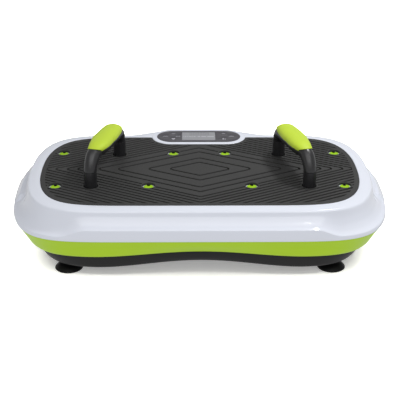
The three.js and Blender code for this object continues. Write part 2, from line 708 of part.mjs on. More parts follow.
// Half width and heights of the tube, which spreads and flattens under the grip.
function carrierReach(u) {
  const rearSwell = Math.cos((Math.PI / 2) * clampedShare(u, GRIP_WIDEST, 12.5)) ** 0.7;
  const swell = u < GRIP_WIDEST ? frontSwell(u) : rearSwell;
  const underGrip = u >= GRIP_FIRST && u <= GRIP_LAST;
  const sunk = underGrip ? 4.2 * (1 - 0.85 * smoothstep(8.5, GRIP_LAST, u)) : 0;
  const radius = tubeRadius(u);
  return { side: radius + 7.3 * swell, up: radius - sunk, down: radius + 1.5 * swell };
}

function handleTube(sign) {
  const shoulder = SOCKET_TOP + GAP;
  const legRings = [
    [SPIGOT_BOTTOM, SPIGOT_RADIUS],
    [shoulder, SPIGOT_RADIUS],
    [shoulder + 0.01, TUBE_RADIUS],
  ];
  const leg = (distance, up) =>
    legRings.map(([height, radius]) => ({
      at: [distance, height],
      up,
      reach: { side: radius, up: radius, down: radius },
    }));
  const beforeGrip = [1, 2, 3, GRIP_FIRST - 0.05];
  const underGrip = [GRIP_FIRST, 4.4, 5, 6, 7, 8, 9, 9.6, 10.2, 10.8, 11.3, GRIP_LAST];
  const afterGrip = [GRIP_LAST + 0.1, 12.2, 13];
  const stations = [...beforeGrip, ...underGrip, ...afterGrip].map((u) => ({
    ...handlePoint(u),
    reach: carrierReach(u),
  }));
  const rearLeg = leg(HANDLE_SPAN, [1, 0]).reverse();
  return sweptHandle([...leg(0, [-1, 0]), ...stations, ...rearLeg], sign, 14);
}

// Soft pad on the handle's back, with the handle's own shape cut out of it.
function handleGrip(sign) {
  const places = [GRIP_FIRST + 0.03, 4.4, 5, 6, 7, 8, 9, 9.6, 10.2, 10.8, 11.3, GRIP_LAST - 0.02];
  const tools = [GRIP_FIRST - 0.3, ...places, GRIP_LAST + 0.3];
  const pad = places.map((u) => ({
    ...handlePoint(u),
    reach: { side: gripHalfWidth(u), up: gripHeight(u), down: 2 },
  }));
  const clearance = tools.map((u) => {
    const { side, up } = carrierReach(THREE.MathUtils.clamp(u, GRIP_FIRST, GRIP_LAST));
    return { ...handlePoint(u), reach: { side: side + GAP, up: up + GAP, down: 30 } };
  });
  const below = tools.map((u) => ({
    ...handlePoint(u),
    reach: { side: 60, up: GRIP_LOWER_EDGE, down: 30 },
  }));
  return cut(sweptHandle(pad, sign, 16), sweptHandle(clearance, sign, 14), sweptHandle(below, sign, 8));
}

// Tube that stands on the rocking frame and receives one leg of a handle.
function handleSocket(x, y) {
  const bottom = FRAME_TOP + GAP;
  const profile = [
    [SPIGOT_RADIUS + 0.4, bottom],
    [TUBE_RADIUS, bottom],
    [TUBE_RADIUS, SOCKET_TOP],
    [SPIGOT_RADIUS + 0.4, SOCKET_TOP],
    [SPIGOT_RADIUS + 0.4, bottom],
  ];
  return turned(profile, x, y, 14);
}

// Shallow cap over a deck screw, with a notch in its rear edge to lift it by.
function screwCap(x, y) {
  const bottom = DECK_TOP + GAP;
  const notchHalfWidth = 3.3;
  const notchEnd = y + 1.5 + notchHalfWidth;
  const profile = [
    [0, bottom],
    [CAP_RADIUS, bottom],
    [CAP_RADIUS, bottom + 1.1],
    [CAP_RADIUS - 1.2, bottom + 1.8],
    [0, bottom + 2],
  ];
  const slot = block([x - notchHalfWidth, x + notchHalfWidth], [notchEnd, y + 12], [140, 150]);
  return cut(turned(profile, x, y, 20), barZ(notchHalfWidth, [140, 150], x, notchEnd, 16), slot);
}

// ---------- console ----------

function consoleOverlay() {
  const film = plate(stadiumShape(CONSOLE_STRAIGHT, OVERLAY_RADIUS, CONSOLE_Y), [148.3, 150.7]);
  const lcdX = [-LCD_HALF_LENGTH - GAP, LCD_HALF_LENGTH + GAP];
  const lcdOpening = block(lcdX, [LCD_FRONT - GAP, LCD_REAR + GAP], [140, 160]);
  const keyHoles = KEYS.map(([, x, y]) => barZ(KEY_RADIUS + 0.4, [140, 160], x, y, 10));
  return cut(film, lcdOpening, ...keyHoles);
}

function consoleKey(x, y) {
  return barZ(KEY_RADIUS, [148.3 + KEY_TRAVEL, 150.7], x, y, 10);
}

const lcdModule = () => block([-LCD_HALF_LENGTH, LCD_HALF_LENGTH], [LCD_FRONT, LCD_REAR], [135, 150.5]);

function consoleBoard() {
  const sheet = block([-82, 82], [148, 206], [132.8, 134.4]);
  const sounder = barZ(6, [126, 133], 60, 176, 12);
  const receiver = block([-66, -54], [170, 182], [126, 133]);
  return united(sheet, sounder, receiver);
}

// ---------- assembly ----------

const group = new THREE.Group();

function place(name, solid, material) {
  const mesh = new THREE.Mesh(geometryFrom(solid), material);
  mesh.name = name;
  group.add(mesh);
}

place("base_pan", basePan(), BLACK_PAN);
place("chassis_plate", chassisPlate(), ZINC_STEEL);
footPlaces().forEach(([corner, x, y]) => place("foot_" + corner, foot(x, y), FOOT_RUBBER));

ENDS.forEach(([end, s]) => {
  place("pivot_bracket_" + end, pivotBracket(s), ZINC_STEEL);
  place("shaft_bearing_" + end, shaftBearing(s), DARK_STEEL);
  place("eccentric_" + end, eccentric(s), BRIGHT_STEEL);
  place("rocker_link_" + end, rockerLink(s), ALUMINIUM);
  place("link_pin_" + end, linkPin(s), BRIGHT_STEEL);
});
place("rocker_frame", rockerFrame(), ZINC_STEEL);
place("pivot_shaft", barY(6, [-113, 113], 0, PIVOT_Z), BRIGHT_STEEL);
place("crankshaft", barY(7, [-140, 140], CRANK_X, CRANK_Z), BRIGHT_STEEL);
place("driven_pulley", drivenPulley(), ALUMINIUM);
place("drive_belt", driveBelt(), BELT_RUBBER);
place("motor_housing", motorHousing(), DARK_STEEL);
place("motor_bracket", motorBracket(), ZINC_STEEL);
place("motor_shaft", barY(4, [-72, 15], MOTOR_X, MOTOR_Z, 10), BRIGHT_STEEL);
place("motor_pulley", motorPulley(), ALUMINIUM);

place("power_board", powerBoard(), CIRCUIT_BOARD);
place("power_inlet", powerInlet(), BLACK_MOULDING);
place("switch_housing", switchHousing(), BLACK_MOULDING);
place("power_rocker", powerRocker(), BLACK_MOULDING);
place("motor_lead", lead(MOTOR_LEAD_ROUTE, 2.5), LEAD_RED);
place("mains_lead_inner", lead(MAINS_LEAD_ROUTE, 2.5), LEAD_BLACK);

place("top_shell", topShell(), WHITE_SHELL);
place("accent_band", accentBand(), LIME_BAND);
place("rubber_mat", rubberMat(), MAT_RUBBER);
SCREW_HOLES.forEach(([spot, x, y]) => place("screw_cap_" + spot, screwCap(x, y), LIME_BAND));
POSTS.forEach(([post, x, y]) => place("handle_socket_" + post, handleSocket(x, y), BLACK_MOULDING));
SIDES.forEach(([side, sign]) => {
  place("handle_tube_" + side, handleTube(sign), BLACK_MOULDING);
  place("handle_grip_" + side, handleGrip(sign), LIME_GRIP);
});

place("console_board", consoleBoard(), CIRCUIT_BOARD);
place("lcd_module", lcdModule(), LCD_GLASS);
place("console_overlay", consoleOverlay(), OVERLAY_FILM);
KEYS.forEach(([key, x, y]) => place("key_" + key, consoleKey(x, y), OVERLAY_FILM));

export default group;
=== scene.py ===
import math

import bmesh
import bpy
import numpy as np
from mathutils import Matrix, Vector
from mathutils.geometry import delaunay_2d_cdt


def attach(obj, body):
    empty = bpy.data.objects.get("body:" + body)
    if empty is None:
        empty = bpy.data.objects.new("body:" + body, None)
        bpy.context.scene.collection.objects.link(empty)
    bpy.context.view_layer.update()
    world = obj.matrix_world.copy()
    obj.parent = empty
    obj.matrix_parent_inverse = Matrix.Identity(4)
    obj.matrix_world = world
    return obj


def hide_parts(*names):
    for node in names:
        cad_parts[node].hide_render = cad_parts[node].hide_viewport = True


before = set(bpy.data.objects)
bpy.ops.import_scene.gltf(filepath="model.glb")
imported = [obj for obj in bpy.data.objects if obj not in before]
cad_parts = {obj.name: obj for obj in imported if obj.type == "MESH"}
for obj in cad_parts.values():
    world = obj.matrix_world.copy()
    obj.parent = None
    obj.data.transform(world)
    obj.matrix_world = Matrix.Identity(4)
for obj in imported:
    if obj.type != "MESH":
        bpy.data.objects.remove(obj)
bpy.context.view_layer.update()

SCENE = bpy.context.scene
MM = 0.001  # every length below is in millimetres until a mesh is made

# ---------- dimensions, the same as in the solids ----------

DECK_TOP = 145.0
DECK_UNDER = 141.3
MAT_TOP = 150.0
RIM_CREASE = 146.5
LIP_BOTTOM = 96.0
CONSOLE_Y = 176.0
CONSOLE_STRAIGHT = 57.5
CONSOLE_RADIUS = 43.0
OVERLAY_RADIUS = 32.5
KEY_RADIUS = 6.3
LCD_X = 36.0
LCD_Y = (155.0, 201.0)
SCREW_HOLE_RADIUS = 12.7
POST_HOLE_RADIUS = 14.2
CAP_RADIUS = 9.8
COUNTERBORE_RADIUS = 8.6
HANDLE_FRONT = (213.0, -83.0)
HANDLE_REAR = (165.6, 78.0)
TUBE_RADIUS = 12.6
NECK_SWELL = 1.3
SOCKET_TOP = 179.7
TOP_RUN_FRONT = 213.5
TOP_RUN_REAR = 211.0
FRONT_BEND = 40.0
REAR_BEND = 38.0
GRIP_FIRST = 3.8
GRIP_LAST = 11.6
GRIP_WIDEST = 7.0
GRIP_HALF_WIDTH = 22.5
GRIP_REAR_NARROWING = 0.96  # 1 would bring the rear end to a point
GRIP_LOWER_EDGE = 3.6
SPIGOT_RADIUS = 9.2
ARCH_HALF_LENGTH = 210
BAND_BOTTOM = 52
BAND_RISE = 12  # how far the band's lower edge rises at mid length
PAN_BOTTOM = 22
PAN_RISE = 16
PAN_TOP = 75
MAT_BOTTOM = 145.3
MAT_HALF_LENGTH = 317.4
MAT_HALF_WIDTH = 172.4
INLET_X = -200
SWITCH_X = -155
SERVICE_Z = 36  # height of the inlet's and the switch's middle
TUBE_FIRST = 0.66  # where the bent part of a handle starts and ends, just above its sockets
TUBE_LAST = 13.25
MID_RUN = 7.0
FOOT_PLACES = {
    "front_left": (-257, -137), "front_right": (257, -137),
    "rear_left": (-257, 137), "rear_right": (257, 137),
}
SCREW_PLACES = {
    "front_outer_left": (-283, -81), "front_inner_left": (-101, -81),
    "front_inner_right": (101, -81), "front_outer_right": (283, -81),
    "rear_outer_left": (-283, 87), "rear_inner_left": (-54, 85),
    "rear_inner_right": (54, 85), "rear_outer_right": (283, 87),
}
POST_PLACES = {
    "front_left": (-213, -83), "front_right": (213, -83),
    "rear_left": (-165.6, 78), "rear_right": (165.6, 78),
}
KEY_PLACES = {
    "speed_up": (54.5, 191.5), "speed_down": (54.5, 161), "program": (71.5, 176),
    "power": (-71.5, 176), "mode": (-54.5, 191.5), "time": (-44.5, 176),
    "timer_hold": (-54.5, 161),
}

# ---------- dimensions of the looks alone, which the solids don't have ----------

FILM_SEAT = 147.8  # floor of the shell's hollow under the console film
SCOOP_BLEND = 3.0  # half length of the ends of the hand recess
VENTS_A_SIDE = 9  # slots through the pan's floor
VENT_FIRST = 140
VENT_STEP = 8
VENT_HALF_WIDTH = 1.6
VENT_HALF_LENGTH = 26
PRINT_THICKNESS = 0.08
# Sideways shifts of the pad alone, and of the tube and the pad together, at places along the handle.
PAD_LEAN_PLACES = (6.5, 7.0, 7.5, 8.0, 8.5, 9.0, 9.6, 10.2, 10.8, 11.3, 11.6)
PAD_LEAN_SHIFTS = (0.0, 0.3, -0.1, -0.6, -1.0, -1.4, -1.7, -1.8, -1.6, -1.0, -0.6)
LEAN_PLACES = (3.0, 3.8, 4.2, 4.6, 5.0, 5.5, 6.0, 6.5)
LEAN_SHIFTS = (0.0, 1.7, 2.9, 3.3, 3.1, 2.4, 1.3, 0.0)

# ---------- camera ----------

CAMERA_PLACE = (-0.0284, -1.9799, 1.0035)
CAMERA_LENS = 95.96
CAMERA_YAW = math.radians(0.85)

FORWARD = Vector((0.01344, 0.90621, -0.42262)).normalized()
LEVEL = Vector((math.cos(CAMERA_YAW), -math.sin(CAMERA_YAW), 0))
ROLL = math.radians(0.24)


def make_camera():
    upward = LEVEL.cross(FORWARD)
    right = math.cos(ROLL) * LEVEL + math.sin(ROLL) * upward
    up = math.cos(ROLL) * upward - math.sin(ROLL) * LEVEL
    data = bpy.data.cameras.new("camera")
    data.lens = CAMERA_LENS
    data.sensor_width = 36
    obj = bpy.data.objects.new("camera", data)
    turn = Matrix((right, up, -FORWARD)).transposed().to_4x4()
    obj.matrix_world = Matrix.Translation(CAMERA_PLACE) @ turn
    SCENE.collection.objects.link(obj)
    SCENE.camera = obj


make_camera()

# ---------- materials ----------


def link(tree, source, socket, node, name):
    tree.links.new(source.outputs[socket], node.inputs[name])


def material(name, colour, rough, vary=0.05, blotch=18, grain=900, bump=0.05, coat=0.0, metal=0.0,
             rough_vary=0.06, deep=0.0002, brushed=None, shine=0.5):
    """A finish from two noises: a broad one for its tint, a fine one for its gloss and grain."""
    made = bpy.data.materials.new(name)
    made.use_nodes = True
    tree = made.node_tree
    shader = tree.nodes["Principled BSDF"]
    shader.inputs["Metallic"].default_value = metal
    shader.inputs["Specular IOR Level"].default_value = shine
    shader.inputs["Coat Weight"].default_value = coat
    shader.inputs["Coat Roughness"].default_value = 0.08
    place = tree.nodes.new("ShaderNodeTexCoord")
    broad = tree.nodes.new("ShaderNodeTexNoise")
    broad.inputs["Scale"].default_value = blotch
    broad.inputs["Detail"].default_value = 3
    fine = tree.nodes.new("ShaderNodeTexNoise")
    fine.inputs["Scale"].default_value = grain
    fine.inputs["Detail"].default_value = 2
    link(tree, place, "Object", broad, "Vector")
    if brushed:
        stretch = tree.nodes.new("ShaderNodeMapping")
        stretch.inputs["Scale"].default_value = brushed
        link(tree, place, "Object", stretch, "Vector")
        link(tree, stretch, "Vector", fine, "Vector")
    else:
        link(tree, place, "Object", fine, "Vector")
    tint = tree.nodes.new("ShaderNodeMix")
    tint.data_type = "RGBA"
    tint.inputs[6].default_value = (*[c * (1 - vary) for c in colour], 1)
    tint.inputs[7].default_value = (*[min(c * (1 + vary), 1) for c in colour], 1)
    link(tree, broad, "Fac", tint, 0)
    tree.links.new(tint.outputs[2], shader.inputs["Base Color"])
    gloss = tree.nodes.new("ShaderNodeMapRange")
    gloss.inputs["To Min"].default_value = max(rough - rough_vary, 0.02)
    gloss.inputs["To Max"].default_value = min(rough + rough_vary, 1)
    link(tree, fine, "Fac", gloss, "Value")
    link(tree, gloss, "Result", shader, "Roughness")
    relief = tree.nodes.new("ShaderNodeBump")
    relief.inputs["Strength"].default_value = bump
    relief.inputs["Distance"].default_value = deep
    link(tree, fine, "Fac", relief, "Height")
    link(tree, relief, "Normal", shader, "Normal")
    return made


WHITE = material("gloss_white_plastic", (0.77, 0.80, 0.885), 0.12, vary=0.01, grain=260, bump=0.015,
                 coat=0.2, rough_vary=0.03)
LIME = material("lime_plastic", (0.48, 0.75, 0.011), 0.35, vary=0.03, grain=700, bump=0.04, shine=0.25)
LIME_CAP = material("lime_cap_plastic", (0.33, 0.60, 0.001), 0.32, vary=0.03, grain=900, bump=0.04,
                    shine=0.2)
LIME_PAD = material("lime_soft_grip", (0.51, 0.67, 0.050), 0.5, vary=0.04, grain=1500, bump=0.22,
                    deep=0.0003, shine=0.2)
PAN = material("black_grained_plastic", (0.013, 0.013, 0.0135), 0.5, vary=0.12, grain=1300, bump=0.3,
               deep=0.0003, shine=0.3)
MAT = material("dark_rubber", (0.041, 0.041, 0.0405), 0.6, vary=0.1, grain=1700, bump=0.3,
               deep=0.0003, shine=0.3)
FOOT = material("black_rubber", (0.005, 0.005, 0.005), 0.5, vary=0.2, grain=1100, bump=0.2, shine=0.2)
BLACK = material("black_moulded_plastic", (0.012, 0.012, 0.0135), 0.33, vary=0.15, grain=1100, bump=0.12,
                 shine=0.7)
OVERLAY = material("smoked_console_film", (0.070, 0.068, 0.078), 0.3, vary=0.04, grain=1600, bump=0.06,
                   shine=0.3)
LCD = material("grey_lcd_glass", (0.30, 0.305, 0.325), 0.3, vary=0.03, grain=2000, bump=0.03, shine=0.3)
SEGMENT = material("lcd_segment", (0.235, 0.235, 0.255), 0.4, vary=0.05, grain=2000, bump=0.02, shine=0.3)
SEGMENT_LIT = material("lcd_segment_light", (0.50, 0.51, 0.54), 0.4, vary=0.05, grain=2000, bump=0.02)
PRINT = material("console_legend_ink", (0.56, 0.56, 0.61), 0.5, vary=0.06, grain=1800, bump=0.05)
DARK_STEEL = material("blackened_steel", (0.10, 0.10, 0.11), 0.42, metal=0.9, vary=0.12, grain=800, bump=0.1)
PAINTED = material("black_painted_steel", (0.012, 0.012, 0.013), 0.45, vary=0.15, grain=900, bump=0.15,
                   shine=0.3)
ZINC = material("zinc_plated_steel", (0.50, 0.52, 0.53), 0.38, metal=1.0, vary=0.12, blotch=60, grain=500,
                bump=0.1)
BRIGHT = material("ground_steel", (0.62, 0.63, 0.64), 0.24, metal=1.0, vary=0.05, grain=500, bump=0.06,
                  brushed=(1, 12, 1))
ALUMINIUM = material("cast_aluminium", (0.58, 0.59, 0.60), 0.4, metal=1.0, vary=0.06, grain=900, bump=0.3)
BELT = material("belt_rubber", (0.012, 0.012, 0.012), 0.6, vary=0.2, grain=1500, bump=0.2)
BOARD = material("green_circuit_board", (0.015, 0.11, 0.04), 0.4, vary=0.2, blotch=160, grain=1200,
                 bump=0.1)
LEAD_RED = material("red_lead_jacket", (0.35, 0.02, 0.015), 0.45, vary=0.1, grain=1500, bump=0.1)
LEAD_BLACK = material("black_lead_jacket", (0.014, 0.014, 0.014), 0.45, vary=0.1, grain=1500, bump=0.1)

# ---------- making pieces ----------


def make_piece(name, points, faces, finish, body, slot=None, replaces=(), sharp=32.0):
    mesh = bpy.data.meshes.new(name)
    mesh.from_pydata((np.asarray(points, float) * MM).tolist(), [], faces)
    work = bmesh.new()
    work.from_mesh(mesh)
    bmesh.ops.remove_doubles(work, verts=work.verts, dist=2e-6)
    bmesh.ops.dissolve_degenerate(work, edges=work.edges, dist=1e-6)
    bmesh.ops.delete(work, geom=[v for v in work.verts if not v.link_faces], context="VERTS")
    bmesh.ops.recalc_face_normals(work, faces=work.faces)
    work.to_mesh(mesh)
    work.free()
    obj = bpy.data.objects.new(name, mesh)
    SCENE.collection.objects.link(obj)
    return dress(obj, finish, body, replaces, sharp)


def dress(obj, finish, body, replaces=(), sharp=32.0):
    obj.data.shade_smooth()
    obj.data.set_sharp_from_angle(angle=math.radians(sharp))
    obj.data.materials.clear()
    obj.data.materials.append(finish)
    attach(obj, body)
    if replaces:
        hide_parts(*replaces)
    return obj


def grid(rows, columns, closed_rows=False, closed_columns=True):
    """Quads over a grid of points numbered row by row."""
    faces = []
    for i in range(rows if closed_rows else rows - 1):
        low, high = i * columns, ((i + 1) % rows) * columns
        for j in range(columns if closed_columns else columns - 1):
            k = (j + 1) % columns
            faces.append((low + j, low + k, high + k, high + j))
    return faces


def loft(sections, closed=False):
    """Points and faces of a skin over closed sections that all have as many points."""
    count = len(sections[0])
    points = np.concatenate(sections)
    faces = grid(len(sections), count, closed_rows=closed)
    if not closed:
        faces.append(tuple(range(count)))
        last = (len(sections) - 1) * count
        faces.append(tuple(range(last, last + count)))
    return points, faces


def merged(*parts):
    """Several (points, faces) as one."""
    points, faces, start = [], [], 0
    for some, these in parts:
        points.append(np.asarray(some, float))
        faces += [tuple(i + start for i in face) for face in these]
        start += len(some)
    return np.concatenate(points), faces


def rounded(keys, reach, steps=4, closed=False):
    """A path through key points whose corners are rounded. keys is (K, N, 3) or (K, 2); reach
    is how far each rounding starts from its corner, as a number or one for each of N points."""
    keys = np.asarray(keys, float)
    count = len(keys)
    path = []
    for i, corner in enumerate(keys):
        if not closed and i in (0, count - 1):
            path.append(corner)
            continue
        if np.all(reach[i] == 0):
            path.append(corner)
            continue
        before, after = keys[i - 1] - corner, keys[(i + 1) % count] - corner
        ends = []
        for side in (before, after):
            length = np.maximum(np.linalg.norm(side, axis=-1, keepdims=True), 1e-9)
            ends.append(corner + side * np.minimum(0.499, reach[i] / length))
        for k in range(steps + 1):
            t = k / steps
            path.append((1 - t) ** 2 * ends[0] + 2 * t * (1 - t) * corner + t**2 * ends[1])
    return np.array(path)


def turned(profile, x, y, sides=64):
    """Skin of revolution about the vertical line at (x, y); profile is (radius, height) pairs."""
    angles = np.arange(sides) * 2 * np.pi / sides
    rows = []
    for radius, height in profile:
        row = np.stack([x + radius * np.cos(angles), y + radius * np.sin(angles),
                        np.full(sides, float(height))], -1)
        rows.append(row)
    return rows


def ring_piece(name, profile, x, y, finish, body, slot=None, replaces=(), sides=64, closed=False):
    points, faces = loft(turned(profile, x, y, sides), closed=closed)
    return make_piece(name, points, faces, finish, body, slot, replaces)


def boolean(obj, points, faces, operation="DIFFERENCE"):
    """Cuts or joins a solid, given as points and faces, into obj's mesh."""
    mesh = bpy.data.meshes.new("cutter")
    mesh.from_pydata((np.asarray(points, float) * MM).tolist(), [], faces)
    work = bmesh.new()
    work.from_mesh(mesh)
    bmesh.ops.remove_doubles(work, verts=work.verts, dist=2e-6)
    bmesh.ops.recalc_face_normals(work, faces=work.faces)
    work.to_mesh(mesh)
    work.free()
    cutter = bpy.data.objects.new("cutter", mesh)
    SCENE.collection.objects.link(cutter)
    modifier = obj.modifiers.new("cut", "BOOLEAN")
    modifier.operation = operation
    modifier.solver = "EXACT"
    modifier.object = cutter
    bpy.context.view_layer.update()
    depsgraph = bpy.context.evaluated_depsgraph_get()
    cut = bpy.data.meshes.new_from_object(obj.evaluated_get(depsgraph))
    obj.modifiers.clear()
    obj.data = cut
    bpy.data.objects.remove(cutter)
    bpy.data.meshes.remove(mesh)


def smoothstep(low, high, value):
    t = np.clip((np.asarray(value, float) - low) / (high - low), 0, 1)
    return t * t * (3 - 2 * t)


def mix(a, b, t):
    return a + (b - a) * t


# ---------- plan outlines ----------

SIDE_POINTS = 384


def unit_outline(count):
    """Rounded rectangle |x|^8 + |y|^2.4 = 1."""
    angle = np.arange(count) * 2 * np.pi / count
    c, s = np.abs(np.cos(angle)), np.abs(np.sin(angle))
    low, high = np.full(count, 0.5), np.full(count, 2.0)
    for _ in range(50):
        middle = (low + high) / 2
        inside = (middle * c) ** 8 + (middle * s) ** 2.4 < 1
        low, high = np.where(inside, middle, low), np.where(inside, high, middle)
    return np.stack([low * np.cos(angle), low * np.sin(angle)], -1)


UNIT = unit_outline(SIDE_POINTS)


def arch(x):
    return np.where(np.abs(x) < ARCH_HALF_LENGTH, 0.5 + 0.5 * np.cos(np.pi * x / ARCH_HALF_LENGTH), 0)


def ring(a, b, z, adjust=None):
    x, y = a * UNIT[:, 0], b * UNIT[:, 1]
    height = z(x, y) if callable(z) else np.full(len(x), float(z))
    points = np.stack([x, y, height], -1)
    return adjust(points) if adjust else points


def stadium(inset=0.0, radius=CONSOLE_RADIUS, steps=32):
    angles = np.linspace(-np.pi / 2, np.pi / 2, steps + 1)
    r = radius - inset
    right = np.stack([CONSOLE_STRAIGHT + r * np.cos(angles), CONSOLE_Y + r * np.sin(angles)], -1)
    left = np.stack([-CONSOLE_STRAIGHT - r * np.cos(angles), CONSOLE_Y - r * np.sin(angles)], -1)
    return np.concatenate([right, left])


def circle(x, y, radius, sides=40):
    angles = np.arange(sides) * 2 * np.pi / sides
    return np.stack([x + radius * np.cos(angles), y + radius * np.sin(angles)], -1)


def rounded_box(x0, x1, y0, y1, radius, steps=5):
    corners = [(x1 - radius, y0 + radius, -90), (x1 - radius, y1 - radius, 0),
               (x0 + radius, y1 - radius, 90), (x0 + radius, y0 + radius, 180)]
    points = []
    for x, y, first in corners:
        for k in range(steps + 1):
            angle = math.radians(first + 90 * k / steps)
            points.append((x + radius * math.cos(angle), y + radius * math.sin(angle)))
    return np.array(points)


# ---------- flat pieces with holes and relief ----------


def inside_loop(points, loop):
    """Which points are inside a closed loop, by crossings of a ray along +X."""
    x, y = points[:, 0][:, None], points[:, 1][:, None]
    x0, y0 = loop[:, 0][None], loop[:, 1][None]
    x1, y1 = np.roll(loop[:, 0], -1)[None], np.roll(loop[:, 1], -1)[None]
    crosses = (y0 > y) != (y1 > y)
    with np.errstate(divide="ignore", invalid="ignore"):
        at = x0 + (y - y0) * (x1 - x0) / (y1 - y0)
    return (crosses & (x < at)).sum(1) % 2 == 1


def cap(outer, holes, lines=(), height=0.0):
    """Triangles that fill outer less holes, with an edge along every line. height is a number
    or a function of the points."""
    loops = [outer, *holes, *lines]
    points, edges, start = [], [], 0
    for loop in loops:
        count = len(loop)
        points += [Vector((float(x), float(y))) for x, y in loop]
        edges += [(start + i, start + (i + 1) % count) for i in range(count)]
        start += count
    flat, _, triangles, *_ = delaunay_2d_cdt(points, edges, [], 0, 1e-5, False)
    flat = np.array([tuple(p) for p in flat])
    triangles = np.array([t for t in triangles if len(t) == 3])
    centre = flat[triangles].mean(1)
    keep = inside_loop(centre, outer)
    for hole in holes:
        keep &= ~inside_loop(centre, hole)
    z = height(flat) if callable(height) else np.full(len(flat), float(height))
    return np.column_stack([flat, z]), [tuple(int(i) for i in t) for t in triangles[keep]]


def wall(loops):
    """Skin between loops given as (2D loop, height) from bottom to top."""
    rows = [np.column_stack([loop, np.full(len(loop), float(z))]) for loop, z in loops]
    return np.concatenate(rows), grid(len(rows), len(rows[0]))


def plate(outer, holes, bottom, top, edge=0.0, lines=(), height=None, steps=3):
    """A flat piece with rounded upper edges. outer and each of holes give their loop for an
    inset into the material."""
    rise = [(0.0, bottom)]
    for k in range(steps + 1):
        turn = math.pi / 2 * k / steps
        rise.append((edge * (1 - math.cos(turn)), top - edge + edge * math.sin(turn)))
    if edge == 0:
        rise = [(0.0, bottom), (0.0, top)]
    parts = [wall([(shape(inset), z) for inset, z in rise]) for shape in [outer, *holes]]
    inset = rise[-1][0]
    upper = [shape(inset) for shape in holes]
    parts.append(cap(outer(inset), upper, lines, height if height else top))
    parts.append(cap(outer(0), [shape(0) for shape in holes], (), bottom))
    return merged(*parts)


# ---------- upper shell ----------


def lip_crease(x, y):
    along = 1 - smoothstep(215, 265, np.abs(x))
    return np.where(np.abs(y) > 120, mix(104.0, 119.0, along), 104.0)


def bulge(reach):
    def adjust(points):
        amount = (1 - smoothstep(70, 150, np.abs(points[:, 0]))) * (UNIT[:, 1] > 0.5)
        points[:, 1] += np.maximum(reach - points[:, 1], 0) * amount
        return points
    return adjust


def scooped(points, half_width):
    """Share of the hand recess: 1 within half_width of the middle of each end, 0 outside it."""
    inside = 1 - smoothstep(half_width - SCOOP_BLEND, half_width + SCOOP_BLEND, np.abs(points[:, 1]))
    return inside * (np.abs(points[:, 0]) > 186)


def skirt(a, b, fraction, reach, half_width, depth, height):
    """A ring part-way down the skirt, and in the hand recess of each end at its own place."""
    def adjust(points):
        points = bulge(reach)(points)
        inside = scooped(points, half_width)
        points[:, 0] -= np.sign(points[:, 0]) * depth * inside
        points[:, 2] = mix(points[:, 2], height, inside)
        return points
    return ring(a, b, lambda x, y: mix(lip_crease(x, y), RIM_CREASE, fraction), adjust)


def top_shell():
    outline = ring(361, 211, 0)
    edge = (9 - 7 * scooped(outline, 60))[:, None]
    keys = [
        (ring(318, 173, DECK_TOP), 0),
        (ring(318, 173, 149.2), 0.5),
        (ring(319.4, 174.4, 149.85), 1.2),
        (ring(328, 182.4, 149.45, bulge(196)), 3.0),
        (ring(340, 193, 147.4, bulge(218)), 1.6),
        (ring(342, 195, 145, bulge(219)), 1.6),
        (skirt(346, 198, 0.66, 219.2, 88, 2, 128), 6.0),
        (skirt(352, 204, 0.34, 219.4, 72, 4, 121.5), 5.0),
        (skirt(361, 211, 0.1, 219.6, 60, 2, 119), edge),
        (skirt(370.5, 218.5, 0, 219.8, 50, 0, 107), 1.4),
        (ring(372, 220, LIP_BOTTOM + 2), 1.0),
        (ring(371.4, 219.4, LIP_BOTTOM), 0.4),
        (ring(368.5, 216.5, LIP_BOTTOM), 0.4),
        (ring(368.5, 216.5, 101), 1.0),
        (ring(362, 210, 104, bulge(215)), 2.0),
        (ring(338, 188, 116, bulge(214)), 3.0),
        (ring(336, 188, DECK_UNDER, bulge(214)), 0),
    ]
    path = rounded([k for k, _ in keys], [r for _, r in keys], steps=5)
    points, faces = loft(list(path))
    shell = make_piece("upper_shell", points, faces, WHITE, "platform", "white_shell", ["top_shell"])
    boss = plate(lambda d: stadium(d), [], DECK_UNDER + 0.5, MAT_TOP + 0.4, edge=1.3, steps=5)
    boolean(shell, *boss, operation="UNION")
    # Cutters that overlap are used one after the other.
    boolean(shell, *plate(lambda d: stadium(d, radius=OVERLAY_RADIUS + 0.35), [], FILM_SEAT, 152))
    cuts = [plate(lambda d: rounded_box(-42, 42, LCD_Y[0] - 3, LCD_Y[1] + 3, 2), [], 130, 151)]
    for x, y in SCREW_PLACES.values():
        cuts.append(loft(turned([(COUNTERBORE_RADIUS, 130), (COUNTERBORE_RADIUS, 150)], x, y, 32)))
    for x, y in POST_PLACES.values():
        cuts.append(loft(turned([(TUBE_RADIUS + 0.5, 130), (TUBE_RADIUS + 0.5, 150)], x, y, 40)))
    boolean(shell, *merged(*cuts))
    slots = []
    for x, y in SCREW_PLACES.values():
        slot = rounded_box(x - 3.5, x + 3.5, y + 2, y + 24, 1.0)
        slots.append(loft([np.column_stack([slot, np.full(len(slot), z)]) for z in (131, 149)]))
    boolean(shell, *merged(*slots))
    return dress(shell, WHITE, "platform", ["top_shell"], sharp=30)


top_shell()

# ---------- rubber mat ----------

# Half length and half depth of each diamond groove.
GROOVES = [(58, 33), (101, 56), (163.5, 89), (202, 111), (244.5, 134.5), (266, 146.5), (289, 158.5),
           (309, 170.5)] + [(331 + 22 * k, 182.5 + 12 * k) for k in range(10)]
GROOVE_CORNER = 6.0
GROOVE_TOP = 2.3  # half widths of a groove at the mat's face and at its floor
GROOVE_FLOOR = 1.7
GROOVE_DEPTH = 3.7
MARGIN = 9.0  # plain border of the mat


